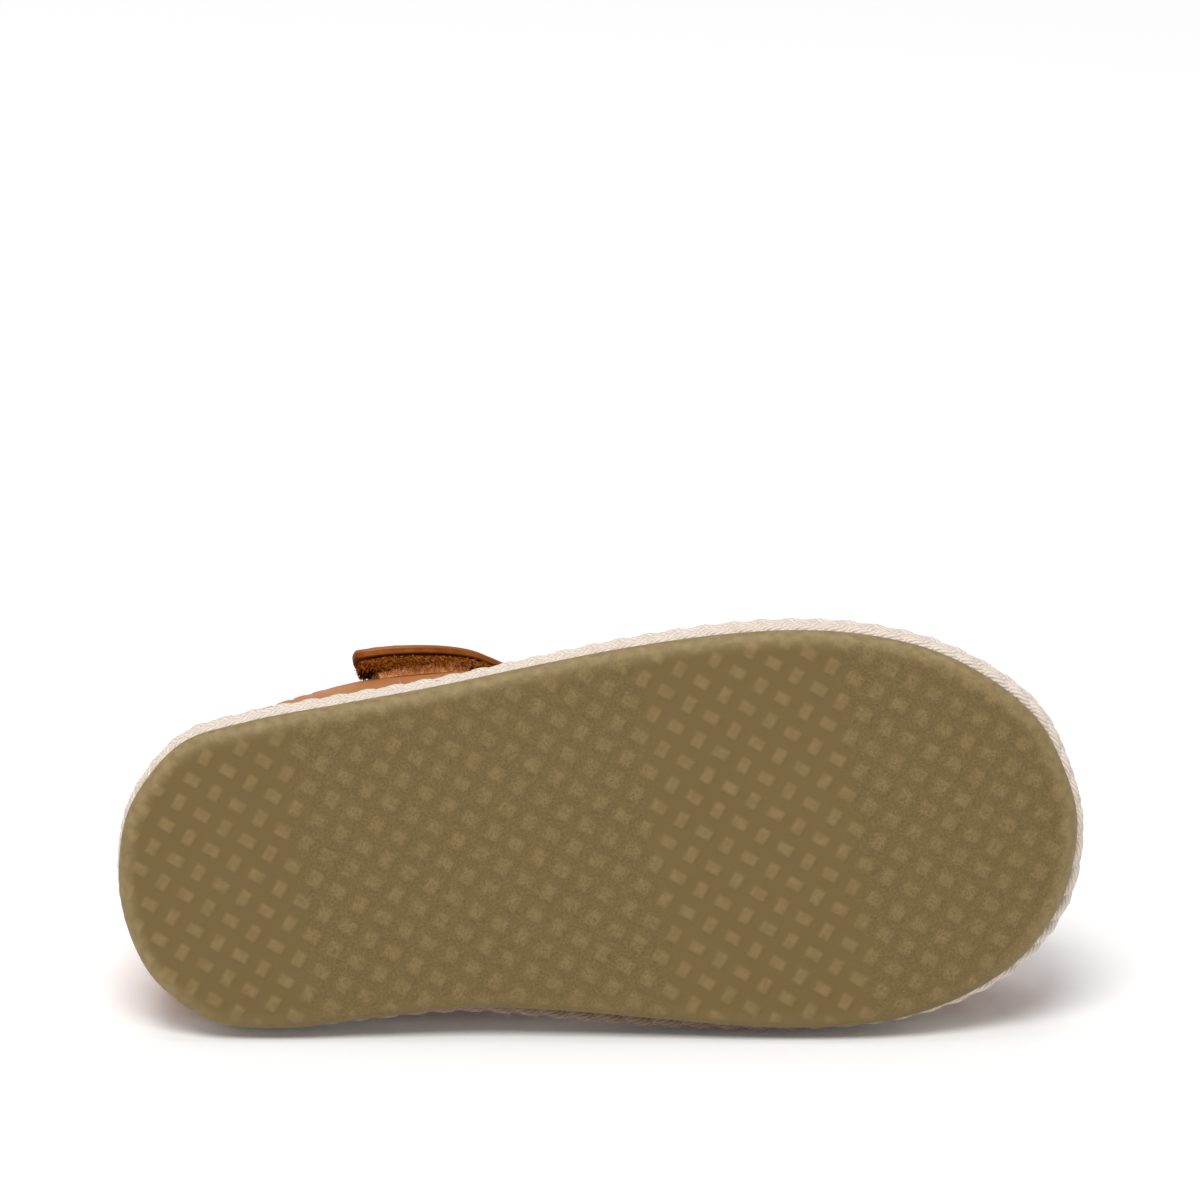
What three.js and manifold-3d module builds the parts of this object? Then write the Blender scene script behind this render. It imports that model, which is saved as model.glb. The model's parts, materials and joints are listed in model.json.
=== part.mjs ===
// A child's fisherman sandal, right foot, on a rope sole, lying on its inner side.
// The shoe is drawn upright first: X runs from heel to toe, +Y is the inner (medial) side,
// Z is up from the tread. At the end it is laid down until three points of it touch the floor.
import * as THREE from 'three';
import { mergeVertices } from 'three/addons/utils/BufferGeometryUtils.js';
import Module from 'manifold-3d';

const wasm = await Module();
wasm.setup();

// Driving dimensions, in millimetres.
const soleLength = 148;
const ballWidth = 62.4;
const toeSpring = 3.5;
const clearance = 0.3; // between pieces that meet

const outsoleThickness = 3.6;
const outsoleRimRadius = 2;

const ropeRowHeight = 4; // one row of braid
const ropeRows = 2;
const ropeProud = 0.8; // beyond the outsole along the sides and toe
const ropeProudHeel = 0.3;
const ropeStrandPitch = 6;
const ropeGroove = 1; // between the rows
const ropeDimple = 0.45; // between the strands of a row
const strandLean = 0.6; // of a strand's pitch, over the height of a row

const leather = 1.6;
const featherInset = 3.2; // from the rope's outer edge to the foot of the upper
const marginWidth = 7; // of the upper, turned in under the insole
const marginThickness = 1.2;
const marginSetback = 0.4; // of its outer edge, inside the face of the upper

const insoleThickness = 2;
const insoleBevel = 0.7;

const instepHeight = 56; // inside of the upper, at half its length, above the tread
const heelHeight = 48; // back of the quarter
const collarDip = 44; // below the ankle bone
const wingHeight = 55; // where the ankle strap is held

const centreStripWidth = 13;
const centreStripLift = 0.4; // its inner face, where it lies over the ends of the side strips
const centreStripRaise = 1; // its outer face, above theirs
const sideStripCount = 5;
const stripLap = 1; // of the centre strip into the loop behind it

const ankleStrapWidth = 15;
const ankleStrapThickness = 1.5;
const loopLeather = 1.3;
const loopEnd = 2.5; // of the loop, before and behind the strap
const tapeThickness = 0.7; // hook patch on the quarter
const pileThickness = 1; // loop pile under the strap's tab
const tapeWidth = 11;
const tabFlare = 1.6; // the tab's lower edge stands off the quarter

// Sole outline: shares of the length, and of the ball width to each side of the centre line.
const soleOutline = [
  { at: 0, lateral: 0.015, medial: -0.015 },
  { at: 0.01, lateral: 0.172, medial: 0.124 },
  { at: 0.03, lateral: 0.262, medial: 0.22 },
  { at: 0.08, lateral: 0.371, medial: 0.325 },
  { at: 0.15, lateral: 0.408, medial: 0.361 },
  { at: 0.25, lateral: 0.43, medial: 0.358 },
  { at: 0.35, lateral: 0.451, medial: 0.356 },
  { at: 0.45, lateral: 0.478, medial: 0.387 },
  { at: 0.55, lateral: 0.501, medial: 0.431 },
  { at: 0.65, lateral: 0.511, medial: 0.474 },
  { at: 0.73, lateral: 0.503, medial: 0.491 },
  { at: 0.8, lateral: 0.474, medial: 0.485 },
  { at: 0.87, lateral: 0.414, medial: 0.443 },
  { at: 0.93, lateral: 0.317, medial: 0.366 },
  { at: 0.97, lateral: 0.211, medial: 0.262 },
  { at: 0.99, lateral: 0.097, medial: 0.16 },
  { at: 1, lateral: -0.03, medial: 0.03 },
];

// Crown of the last, above its centre line: place along the crown, height as a share of the
// instep height, sideways place as a share of the ball width, and how square the section is.
const crown = [
  { at: 0, height: 1.3, toMedial: 0, fullness: 2.6 },
  { at: 0.2, height: 1.26, toMedial: 0, fullness: 2.6 },
  { at: 0.3, height: 1.19, toMedial: 0, fullness: 2.8 },
  { at: 0.4, height: 1.08, toMedial: 0.01, fullness: 2.4 },
  { at: 0.55, height: 0.9, toMedial: 0.03, fullness: 2.25 },
  { at: 0.7, height: 0.75, toMedial: 0.05, fullness: 2.25 },
  { at: 0.85, height: 0.64, toMedial: 0.06, fullness: 2.35 },
  { at: 1, height: 0.56, toMedial: 0.05, fullness: 2.4 },
];
const crownStart = 0.15; // of the length, at the heel end
const crownEnd = 0.875; // of the length, at the toe end

// Top line of the quarter: share of the way round from the heel to the toe, and its height.
const topLine = [
  { way: 0, height: heelHeight },
  { way: 0.1, height: heelHeight - 0.35 * (heelHeight - collarDip) },
  { way: 0.19, height: collarDip },
  { way: 0.27, height: 0.5 * (collarDip + wingHeight) },
  { way: 0.34, height: wingHeight },
  { way: 0.4, height: wingHeight },
];
const quarterFront = { atSole: 0.44, atTop: 0.385 };

// Side strips, the first one behind and the last one at the toe: shares of the way round at
// the sole and along the crown, with their spacing and their width.
const stripRoots = { first: 0.525, step: 0.094, width: 0.052 };
const stripTips = { first: 0.545, step: 0.078, width: 0.064 };
const stripTopRise = 0.97; // their ends lie under the centre strip

// Route of the ankle strap over the last, from the tab's free end on the outer side to the
// seam on the inner side. Rise is 0 at the sole's edge and 1 on the crown, 2 is the far edge.
const strapRoute = [
  { way: 0.292, rise: 0.34 },
  { way: 0.34, rise: 0.38 },
  { way: 0.377, rise: 0.47 },
  { way: 0.402, rise: 0.62 },
  { way: 0.413, rise: 0.8 },
  { way: 0.416, rise: 1 },
  { way: 0.413, rise: 1.2 },
  { way: 0.402, rise: 1.38 },
  { way: 0.377, rise: 1.53 },
  { way: 0.34, rise: 1.62 },
  { way: 0.3, rise: 1.66 },
];

// Heights of the layers at the heel, above the tread.
const ropeBottom = outsoleThickness + clearance;
const ropeHeight = ropeRows * ropeRowHeight;
const ropeTop = ropeBottom + ropeHeight;
const marginBottom = ropeTop + clearance;
const marginTop = marginBottom + marginThickness;
const insoleRim = marginTop + clearance;

const mix = (a, b, t) => a + (b - a) * t;
const clamp = THREE.MathUtils.clamp;

// A smooth value between the rows of a table, by a cubic through four neighbouring rows.
function readTable(rows, key, name, at) {
  let i = rows.findIndex((row) => row[key] > at) - 1;
  if (i < 0) i = at < rows[0][key] ? 0 : rows.length - 2;
  const row = (j) => rows[clamp(j, 0, rows.length - 1)];
  const slope = (j) => {
    const run = row(j + 1)[key] - row(j - 1)[key];
    return (row(j + 1)[name] - row(j - 1)[name]) / run;
  };
  const run = row(i + 1)[key] - row(i)[key];
  const t = clamp((at - row(i)[key]) / run, 0, 1);
  const [t2, t3] = [t * t, t * t * t];
  return row(i)[name] * (2 * t3 - 3 * t2 + 1) + slope(i) * run * (t3 - 2 * t2 + t)
    + row(i + 1)[name] * (3 * t2 - 2 * t3) + slope(i + 1) * run * (t3 - t2);
}

// The sole's edge as a closed curve: from the heel tip along the outer side to the toe tip,
// and back along the inner side.
const outerSide = soleOutline.map((row) =>
  new THREE.Vector3(row.at * soleLength, -row.lateral * ballWidth, 0));
const innerSide = soleOutline.slice(1, -1).reverse().map((row) =>
  new THREE.Vector3(row.at * soleLength, row.medial * ballWidth, 0));
const soleEdge = new THREE.CatmullRomCurve3([...outerSide, ...innerSide], true, 'centripetal');
soleEdge.arcLengthDivisions = 800;
const edgeLength = soleEdge.getLength();

// A point of the edge, moved outwards by a distance. Turn is 0 at the heel tip, 0.5 near the
// toe tip and 1 back at the heel.
function edgePoint(turn, outwards) {
  const u = ((turn % 1) + 1) % 1;
  const point = soleEdge.getPointAt(u);
  const along = soleEdge.getTangentAt(u);
  return new THREE.Vector2(point.x + along.y * outwards, point.y - along.x * outwards);
}

// How far the toe spring lifts the layers at x. Heel and ball stay on one plane.
const springStart = 0.7 * soleLength;
function spring(x) {
  const share = Math.max(0, (x - springStart) / (soleLength - springStart));
  return toeSpring * share * share;
}

// How far the rope stands out past the outsole: less behind the heel.
function proudAt(turn) {
  const fromHeel = Math.min(turn, 1 - turn) / 0.16;
  return mix(ropeProudHeel, ropeProud, THREE.MathUtils.smoothstep(fromHeel, 0, 1));
}

function geometryFrom(points, triangles) {
  const geometry = new THREE.BufferGeometry();
  geometry.setAttribute('position', new THREE.Float32BufferAttribute(points.flatMap((p) => [p.x, p.y, p.z]), 3));
  geometry.setIndex(triangles.flat());
  return mergeVertices(geometry, 1e-4);
}

function toSolid(geometry) {
  const mesh = new wasm.Mesh({
    numProp: 3,
    vertProperties: new Float32Array(geometry.attributes.position.array),
    triVerts: new Uint32Array(geometry.index.array),
  });
  return new wasm.Manifold(mesh);
}

function toGeometry(solid) {
  const mesh = solid.getMesh();
  const geometry = new THREE.BufferGeometry();
  geometry.setAttribute('position', new THREE.Float32BufferAttribute(mesh.vertProperties, 3));
  geometry.setIndex([...mesh.triVerts]);
  return geometry;
}

// A layer of the sole: closed rings of equal count from the bottom up, closed below and above
// by rungs from the outer to the inner side.
function layered(rings) {
  const count = rings[0].length;
  const triangles = [];
  for (let r = 0; r + 1 < rings.length; r++) {
    for (let k = 0; k < count; k++) {
      const [a, b] = [r * count + k, r * count + (k + 1) % count];
      triangles.push([a, b, b + count], [a, b + count, a + count]);
    }
  }
  const rungs = (base, up) => {
    for (let k = 0; k < count / 2; k++) {
      const quad = [k, k + 1, (count - k - 1) % count, (count - k) % count].map((i) => base + i);
      const faces = [[quad[0], quad[1], quad[2]], [quad[0], quad[2], quad[3]]];
      for (const face of faces) {
        if (new Set(face).size === 3) triangles.push(up ? face : [face[0], face[2], face[1]]);
      }
    }
  };
  rungs(0, false);
  rungs((rings.length - 1) * count, true);
  return geometryFrom(rings.flat(), triangles);
}

function ring(count, outwards, z) {
  return Array.from({ length: count }, (_, k) => {
    const turn = k / count;
    const p = edgePoint(turn, outwards(turn));
    return new THREE.Vector3(p.x, p.y, z(turn, p) + spring(p.x));
  });
}

const layerSteps = 112;

function outsole() {
  const rimSteps = 4;
  const rings = [];
  for (let i = 0; i <= rimSteps; i++) {
    const angle = (i / rimSteps) * Math.PI / 2;
    const inwards = outsoleRimRadius * (1 - Math.sin(angle));
    const z = outsoleRimRadius * (1 - Math.cos(angle));
    rings.push(ring(layerSteps, () => -inwards, () => z));
  }
  rings.push(ring(layerSteps, () => 0, () => outsoleThickness));
  return layered(rings);
}

// The rope midsole: rows of braid, each bulging out, with a dimple between its strands. The
// strands of one row lean forwards and those of the next row lean back.
function ropeMidsole() {
  const strands = Math.round(edgeLength / ropeStrandPitch);
  const around = strands * 3;
  const levels = [0, 0.3, 0.7, 1];
  const rings = [];
  for (let row = 0; row < ropeRows; row++) {
    const lean = row % 2 ? -strandLean : strandLean;
    for (const level of row ? levels.slice(1) : levels) {
      const bulge = Math.sin(Math.PI * level);
      const outwards = (turn) => {
        const strand = Math.cos(2 * Math.PI * (turn * strands + lean * level));
        const dimple = ropeDimple * bulge * (0.5 - 0.5 * strand);
        return proudAt(turn) - ropeGroove * (1 - Math.min(1, 1.25 * bulge)) - dimple;
      };
      const z = ropeBottom + (row + level) * ropeRowHeight;
      rings.push(ring(around, outwards, () => z));
    }
  }
  return layered(rings);
}

// Where the inside of the upper stands at its foot, measured from the outsole's edge.
const lastInset = (turn) => proudAt(turn) - featherInset - leather;

function insole() {
  const edge = (more) => (turn) => lastInset(turn) - clearance - more;
  const boss = marginWidth + clearance;
  const top = insoleRim + insoleThickness;
  return layered([
    ring(layerSteps, edge(boss), () => marginBottom),
    ring(layerSteps, edge(boss), () => insoleRim),
    ring(layerSteps, edge(0), () => insoleRim),
    ring(layerSteps, edge(0), () => top - insoleBevel),
    ring(layerSteps, edge(insoleBevel), () => top),
  ]);
}

// The last: a point at a share of the way from heel to toe on one side, at a rise from the
// sole's edge (0) over the crown (1) to the edge of the other side (2), moved out by offset.
// Each section is a superellipse from the edge of the sole up to the crown.
function lastPoint(way, rise, offset, side = 1) {
  const onSide = rise > 1 ? -side : side;
  const angle = Math.min(rise, 2 - rise) * Math.PI / 2;
  const turn = (1 + onSide * way / 2) % 1;
  const foot = edgePoint(turn, lastInset(turn) + offset);
  const footZ = marginBottom + spring(foot.x);
  const topX = mix(crownStart, crownEnd, Math.abs(way)) * soleLength;
  const topY = readTable(crown, 'at', 'toMedial', Math.abs(way)) * ballWidth;
  const topZ = readTable(crown, 'at', 'height', Math.abs(way)) * instepHeight + spring(topX) + offset;
  const power = readTable(crown, 'at', 'fullness', Math.abs(way));
  const radius = (Math.cos(angle) ** power + Math.sin(angle) ** power) ** (-1 / power);
  const out = Math.cos(angle) * radius;
  const up = Math.sin(angle) * radius;
  return new THREE.Vector3(mix(topX, foot.x, out), mix(topY, foot.y, out), mix(footZ, topZ, up));
}

// The rise at which the last reaches a height.
function riseAtHeight(way, side, height) {
  let [low, high] = [0, 1];
  for (let i = 0; i < 30; i++) {
    const middle = (low + high) / 2;
    if (lastPoint(way, middle, 0, side).z < height) low = middle;
    else high = middle;
  }
  return low;
}

// The whole last as a closed form, grown by an offset and carried down by a drop.
function lastForm(offset, drop = 0) {
  const count = 60;
  const levels = 9;
  const rings = [];
  for (let level = 0; level <= levels; level++) {
    rings.push(Array.from({ length: count }, (_, k) => {
      const side = k <= count / 2 ? 1 : -1;
      const way = 2 * Math.min(k, count - k) / count;
      const point = lastPoint(way, level / levels, offset, side);
      if (level === 0) point.z -= drop;
      return point;
    }));
  }
  const points = rings.flat();
  const triangles = [];
  for (let r = 0; r < levels; r++) {
    for (let k = 0; k < count; k++) {
      const [a, b] = [r * count + k, r * count + (k + 1) % count];
      triangles.push([a, b, b + count], [a, b + count, a + count]);
    }
  }
  for (let k = 0; k < count / 2; k++) {
    const quad = [k, k + 1, (count - k - 1) % count, (count - k) % count];
    triangles.push([quad[0], quad[2], quad[1]], [quad[0], quad[3], quad[2]]);
  }
  const merged = geometryFrom(points, triangles);
  return toSolid(dropEmptyFaces(merged));
}

// Faces that fold to a line where the crown closes are left out.
function dropEmptyFaces(geometry) {
  const index = geometry.index.array;
  const kept = [];
  for (let i = 0; i < index.length; i += 3) {
    const [a, b, c] = [index[i], index[i + 1], index[i + 2]];
    if (a !== b && b !== c && c !== a) kept.push(a, b, c);
  }
  geometry.setIndex(kept);
  return geometry;
}

// A closed sheet on the last: place(u, w) gives way, rise and side, and two functions give
// the offsets of its inner and outer face.
function sheet(place, inner, outer, steps, stepsAcross) {
  const points = [];
  for (const offset of [inner, outer]) {
    for (let i = 0; i <= steps; i++) {
      for (let j = 0; j <= stepsAcross; j++) {
        const [u, w] = [i / steps, j / stepsAcross];
        const { way, rise, side } = place(u, w);
        points.push(lastPoint(way, rise, offset(u, w), side));
      }
    }
  }
  const row = stepsAcross + 1;
  const layer = (steps + 1) * row;
  const at = (i, j, l) => l * layer + i * row + j;
  const triangles = [];
  const quad = (a, b, c, d) => triangles.push([a, b, c], [a, c, d]);
  for (let i = 0; i < steps; i++) {
    for (let j = 0; j < stepsAcross; j++) {
      quad(at(i, j, 1), at(i + 1, j, 1), at(i + 1, j + 1, 1), at(i, j + 1, 1));
      quad(at(i, j, 0), at(i, j + 1, 0), at(i + 1, j + 1, 0), at(i + 1, j, 0));
    }
    quad(at(i, 0, 0), at(i + 1, 0, 0), at(i + 1, 0, 1), at(i, 0, 1));
    quad(at(i + 1, stepsAcross, 0), at(i, stepsAcross, 0), at(i, stepsAcross, 1), at(i + 1, stepsAcross, 1));
  }
  for (let j = 0; j < stepsAcross; j++) {
    quad(at(0, j + 1, 0), at(0, j, 0), at(0, j, 1), at(0, j + 1, 1));
    quad(at(steps, j, 0), at(steps, j + 1, 0), at(steps, j + 1, 1), at(steps, j, 1));
  }
  const solid = toSolid(geometryFrom(points, triangles));
  if (solid.volume() >= 0) return solid;
  return toSolid(geometryFrom(points, triangles.map(([a, b, c]) => [a, c, b])));
}

// A block seen from above: a strip of a width along the crown, between two places on X.
function crownStrip(fromX, toX, width) {
  const steps = 24;
  const points = [];
  for (const z of [0, 3 * instepHeight]) {
    for (let i = 0; i <= steps; i++) {
      const x = mix(fromX, toX, i / steps);
      const way = clamp((x / soleLength - crownStart) / (crownEnd - crownStart), 0, 1);
      const y = readTable(crown, 'at', 'toMedial', way) * ballWidth;
      points.push(new THREE.Vector3(x, y - width / 2, z), new THREE.Vector3(x, y + width / 2, z));
    }
  }
  const layer = 2 * (steps + 1);
  const triangles = [];
  const quad = (a, b, c, d) => triangles.push([a, b, c], [a, c, d]);
  for (let i = 0; i < steps; i++) {
    const [a, b, c, d] = [2 * i, 2 * i + 2, 2 * i + 3, 2 * i + 1];
    quad(a, d, c, b);
    quad(a + layer, b + layer, c + layer, d + layer);
    quad(a, b, b + layer, a + layer);
    quad(c, d, d + layer, c + layer);
  }
  quad(1, 0, layer, layer + 1);
  quad(2 * steps, 2 * steps + 1, layer + 2 * steps + 1, layer + 2 * steps);
  return toSolid(geometryFrom(points, triangles));
}

// The margin of the upper, turned in under the insole all round.
function margin() {
  const section = [
    { out: leather - marginSetback, z: marginBottom },
    { out: leather - marginSetback, z: marginTop },
    { out: -marginWidth, z: marginTop },
    { out: -marginWidth, z: marginBottom },
  ];
  const rings = section.map(({ out, z }) => ring(layerSteps, (turn) => lastInset(turn) + out, () => z));
  const triangles = [];
  for (let s = 0; s < section.length; s++) {
    for (let k = 0; k < layerSteps; k++) {
      const next = (s + 1) % section.length;
      const [a, b] = [s * layerSteps + k, s * layerSteps + (k + 1) % layerSteps];
      const [c, d] = [next * layerSteps + (k + 1) % layerSteps, next * layerSteps + k];
      triangles.push([a, b, c], [a, c, d]);
    }
  }
  return toSolid(geometryFrom(rings.flat(), triangles));
}

// The quarter wraps the heel from one front edge to the other, up to the top line.
function quarter() {
  const place = (u, w) => {
    const across = 2 * u - 1;
    const side = across < 0 ? -1 : 1;
    const front = mix(quarterFront.atSole, quarterFront.atTop, w);
    const way = Math.abs(across) * front;
    const top = riseAtHeight(way, side, readTable(topLine, 'way', 'height', way));
    return { way, rise: w * top, side };
  };
  return sheet(place, () => 0, () => leather, 44, 5);
}

function sideStrip(index, side) {
  const root = stripRoots.first + index * stripRoots.step;
  const tip = stripTips.first + index * stripTips.step;
  const place = (u, w) => {
    const from = mix(root - stripRoots.width / 2, tip - stripTips.width / 2, u);
    const to = mix(root + stripRoots.width / 2, tip + stripTips.width / 2, u);
    return { way: mix(from, to, w), rise: stripTopRise * u, side };
  };
  return sheet(place, () => 0, () => leather, 8, 2);
}

// Offsets of the ankle strap from the last along its route: over the tapes on the outer side,
// through the loop on the crown, and on the quarter on the inner side.
const overTapes = leather + 3 * clearance + tapeThickness + pileThickness;
const throughLoop = loopLeather + clearance;
const overQuarter = leather + clearance;
const strapSteps = 40;
const tabShare = 0.16; // of the strap's route, held down on the quarter
const pileShare = 0.24;
const tabRound = 0.05; // over which the tab's end is rounded
const tabEnd = 0.62; // of the width, straight across the very end
const strapCrossing = strapRoute.find((row) => row.rise === 1);
const strapCentreX = mix(crownStart, crownEnd, strapCrossing.way) * soleLength;
const loopOuter = throughLoop + ankleStrapThickness + clearance + loopLeather;

function strapOffset(u) {
  const toLoop = THREE.MathUtils.smoothstep(u, tabShare, 2.1 * tabShare);
  const toSeam = THREE.MathUtils.smoothstep(u, 1 - 2.1 * tabShare, 1 - tabShare);
  return mix(mix(overTapes, throughLoop, toLoop), overQuarter, toSeam);
}

function flareAt(u, w) {
  const ends = 1 - THREE.MathUtils.smoothstep(u, 0.3 * tabShare, 1.5 * tabShare);
  return tabFlare * ends * (1 - w) ** 1.5;
}

// Places across the ankle strap: a step square to its route, worked out on the last.
const strapCurve = new THREE.CatmullRomCurve3(
  strapRoute.map(({ way, rise }) => new THREE.Vector3(way, rise, 0)), false, 'centripetal');

function strapPlace(u, across) {
  const { x: way, y: rise } = strapCurve.getPoint(u);
  const step = 1e-3;
  const byWay = lastPoint(way + step, rise, leather).sub(lastPoint(way - step, rise, leather));
  const byRise = lastPoint(way, rise + step, leather).sub(lastPoint(way, rise - step, leather));
  byWay.divideScalar(2 * step);
  byRise.divideScalar(2 * step);
  const heading = strapCurve.getTangent(u);
  const along = byWay.clone().multiplyScalar(heading.x).addScaledVector(byRise, heading.y).normalize();
  const normal = byWay.clone().cross(byRise).normalize();
  const sideways = normal.cross(along).multiplyScalar(across);
  const [a, b, c] = [byWay.dot(byWay), byWay.dot(byRise), byRise.dot(byRise)];
  const [p, q] = [byWay.dot(sideways), byRise.dot(sideways)];
  const area = a * c - b * b;
  return { way: way + (c * p - b * q) / area, rise: rise + (a * q - b * p) / area, side: 1 };
}

// The strap as a solid, or the room that it needs with some clearance all round.
function strapForm(room = 0) {
  const place = (u, w) => {
    const fromEnd = clamp(u / tabRound, 0, 1);
    const width = ankleStrapWidth * mix(tabEnd, 1, Math.sqrt(1 - (1 - fromEnd) ** 2)) + 2 * room;
    return strapPlace(u, (w - 0.5) * width);
  };
  const inner = (u, w) => strapOffset(u) + flareAt(u, w);
  return sheet(place, (u, w) => inner(u, w) - room,
    (u, w) => inner(u, w) + ankleStrapThickness + room, strapSteps, 4);
}

const ankleStrap = () => toGeometry(strapForm());

// The upper is one piece: margin, quarter and strips, and behind the centre strip a loop of
// thinner leather that the ankle strap passes through.
function upper() {
  const last = lastForm(centreStripLift, marginThickness);
  const raised = lastForm(leather + centreStripRaise);
  const loopFrom = strapCentreX - ankleStrapWidth / 2 - clearance - loopEnd;
  const loopTo = strapCentreX + ankleStrapWidth / 2 + clearance + loopEnd;
  let solid = margin().add(quarter());
  for (let i = 0; i < sideStripCount; i++) {
    for (const side of [1, -1]) solid = solid.add(sideStrip(i, side));
  }
  const strip = crownStrip(loopTo - stripLap, soleLength, centreStripWidth).intersect(raised.subtract(last));
  const loop = crownStrip(loopFrom, loopTo, centreStripWidth)
    .intersect(lastForm(loopOuter).subtract(last)).subtract(strapForm(clearance));
  return toGeometry(solid.add(strip).add(loop));
}

// A tape along a share of the strap's route, given the offset of its inner face.
function tape(from, to, inner, thickness) {
  const place = (u, w) => strapPlace(mix(from, to, u), (w - 0.5) * tapeWidth);
  const base = (u, w) => inner(mix(from, to, u), 0.5 + (w - 0.5) * tapeWidth / ankleStrapWidth);
  return toGeometry(sheet(place, base, (u, w) => base(u, w) + thickness, 10, 3));
}

// The hook patch lies on the quarter, and the pile is sewn under the strap's tab.
const hookTape = () => tape(0.03, tabShare, () => leather + clearance, tapeThickness);

function pileTape() {
  const underStrap = (u, w) => strapOffset(u) + flareAt(u, w) - clearance - pileThickness;
  return tape(0.015, pileShare, underStrap, pileThickness);
}

// Materials, with colour, roughness and metalness as seen.
const gumRubber = new THREE.MeshStandardMaterial({ color: 0x7a663f, roughness: 0.7, metalness: 0 });
const rope = new THREE.MeshStandardMaterial({ color: 0xd8c6b0, roughness: 0.95, metalness: 0 });
const tanLeather = new THREE.MeshStandardMaterial({ color: 0xa9683a, roughness: 0.6, metalness: 0 });
const insoleLeather = new THREE.MeshStandardMaterial({ color: 0xb98352, roughness: 0.7, metalness: 0 });
const brownTape = new THREE.MeshStandardMaterial({ color: 0x4a2408, roughness: 0.95, metalness: 0 });

const pieces = [
  ['outsole', outsole(), gumRubber],
  ['rope_midsole', ropeMidsole(), rope],
  ['insole', insole(), insoleLeather],
  ['upper', upper(), tanLeather],
  ['ankle_strap', ankleStrap(), tanLeather],
  ['strap_pile_tape', pileTape(), brownTape],
  ['quarter_hook_tape', hookTape(), brownTape],
];

const shoe = new THREE.Group();
for (const [name, geometry, material] of pieces) {
  const mesh = new THREE.Mesh(geometry, material);
  mesh.name = name;
  shoe.add(mesh);
}

// The shoe is laid on its inner side and turned until its lowest points at the heel, at the
// ball and on the upper are level, as it comes to rest by itself.
function layOnSide(group) {
  const points = { heel: [], ball: [], upper: [] };
  group.children.forEach((mesh) => {
    const position = mesh.geometry.attributes.position;
    const sole = mesh.name === 'rope_midsole' || mesh.name === 'outsole';
    for (let i = 0; i < position.count; i++) {
      const p = new THREE.Vector3().fromBufferAttribute(position, i);
      points[sole ? (p.x < soleLength / 2 ? 'heel' : 'ball') : 'upper'].push(p);
    }
  });
  const turn = new THREE.Quaternion().setFromAxisAngle(new THREE.Vector3(1, 0, 0), -Math.PI / 2);
  const lowest = (list) => {
    const down = new THREE.Vector3(0, 0, -1).applyQuaternion(turn.clone().invert());
    return list.reduce((best, p) => (p.dot(down) > best.dot(down) ? p : best));
  };
  for (let pass = 0; pass < 30; pass++) {
    const [heel, ball, top] = [points.heel, points.ball, points.upper].map(lowest);
    const face = ball.clone().sub(heel).cross(top.clone().sub(heel)).applyQuaternion(turn).normalize();
    if (face.z > 0) face.negate();
    turn.premultiply(new THREE.Quaternion().setFromUnitVectors(face, new THREE.Vector3(0, 0, -1)));
  }
  group.quaternion.copy(turn);
  group.updateMatrixWorld(true);
  const box = new THREE.Box3().setFromObject(group, true);
  const middle = box.getCenter(new THREE.Vector3());
  group.position.set(-middle.x, -middle.y, -box.min.z);
}
layOnSide(shoe);

const group = new THREE.Group();
group.add(shoe);

export default group;
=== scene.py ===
import json

import bmesh
import bpy
import numpy as np
from mathutils import Matrix, Vector
from mathutils.geometry import delaunay_2d_cdt


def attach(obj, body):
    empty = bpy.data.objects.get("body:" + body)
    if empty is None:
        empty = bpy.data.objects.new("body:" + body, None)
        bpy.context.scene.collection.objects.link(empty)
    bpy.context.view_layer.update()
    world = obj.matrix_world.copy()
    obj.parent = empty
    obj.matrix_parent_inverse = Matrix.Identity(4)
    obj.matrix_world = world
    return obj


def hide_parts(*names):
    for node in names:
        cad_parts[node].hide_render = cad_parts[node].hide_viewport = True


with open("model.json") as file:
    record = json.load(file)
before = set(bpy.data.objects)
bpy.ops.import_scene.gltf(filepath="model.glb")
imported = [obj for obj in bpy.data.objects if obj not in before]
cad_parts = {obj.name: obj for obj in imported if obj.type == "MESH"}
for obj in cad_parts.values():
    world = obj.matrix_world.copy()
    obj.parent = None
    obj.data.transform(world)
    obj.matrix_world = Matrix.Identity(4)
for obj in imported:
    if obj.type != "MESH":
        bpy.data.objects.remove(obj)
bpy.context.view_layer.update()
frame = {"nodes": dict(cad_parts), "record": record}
print("frame loaded, nodes:", ", ".join(sorted(frame["nodes"])))

# A child's right sandal on a rope sole, lying on its inner side, seen from below.
# All shapes are worked out in the shoe's own millimetres: X from heel to toe, +Y to the inner
# side, Z up from the tread. They go into the row frame when their mesh is made.
shoe = dict(
    length=148.0, ballWidth=62.4, toeSpring=3.5, gap=0.3,
    outsole=3.6, rimRadius=2.0,
    ropeRow=4.0, ropeProud=0.8, ropeProudHeel=0.3,
    leather=1.6, featherInset=3.2,
    marginWidth=7.0, marginThickness=1.2, marginSetback=0.4,
    insole=2.0, insoleBevel=0.7,
    instep=56.0, heelHeight=48.0, collarDip=44.0, wingHeight=55.0,
    crownStart=0.15, crownEnd=0.875,
)
ropeBottom = shoe["outsole"] + shoe["gap"]
ropeTop = ropeBottom + 2 * shoe["ropeRow"]
marginBottom = ropeTop + shoe["gap"]
insoleRim = marginBottom + shoe["marginThickness"] + shoe["gap"]
perMm = 1000  # object coordinates are metres, so a pattern of s mm has a scale of perMm / s


def mix(a, b, share):
    return a + (b - a) * share


def smoothstep(x, low, high):
    share = np.clip((x - low) / (high - low), 0, 1)
    return share * share * (3 - 2 * share)


def unit(vectors):
    return vectors / np.maximum(np.linalg.norm(vectors, axis=-1, keepdims=True), 1e-9)


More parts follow.
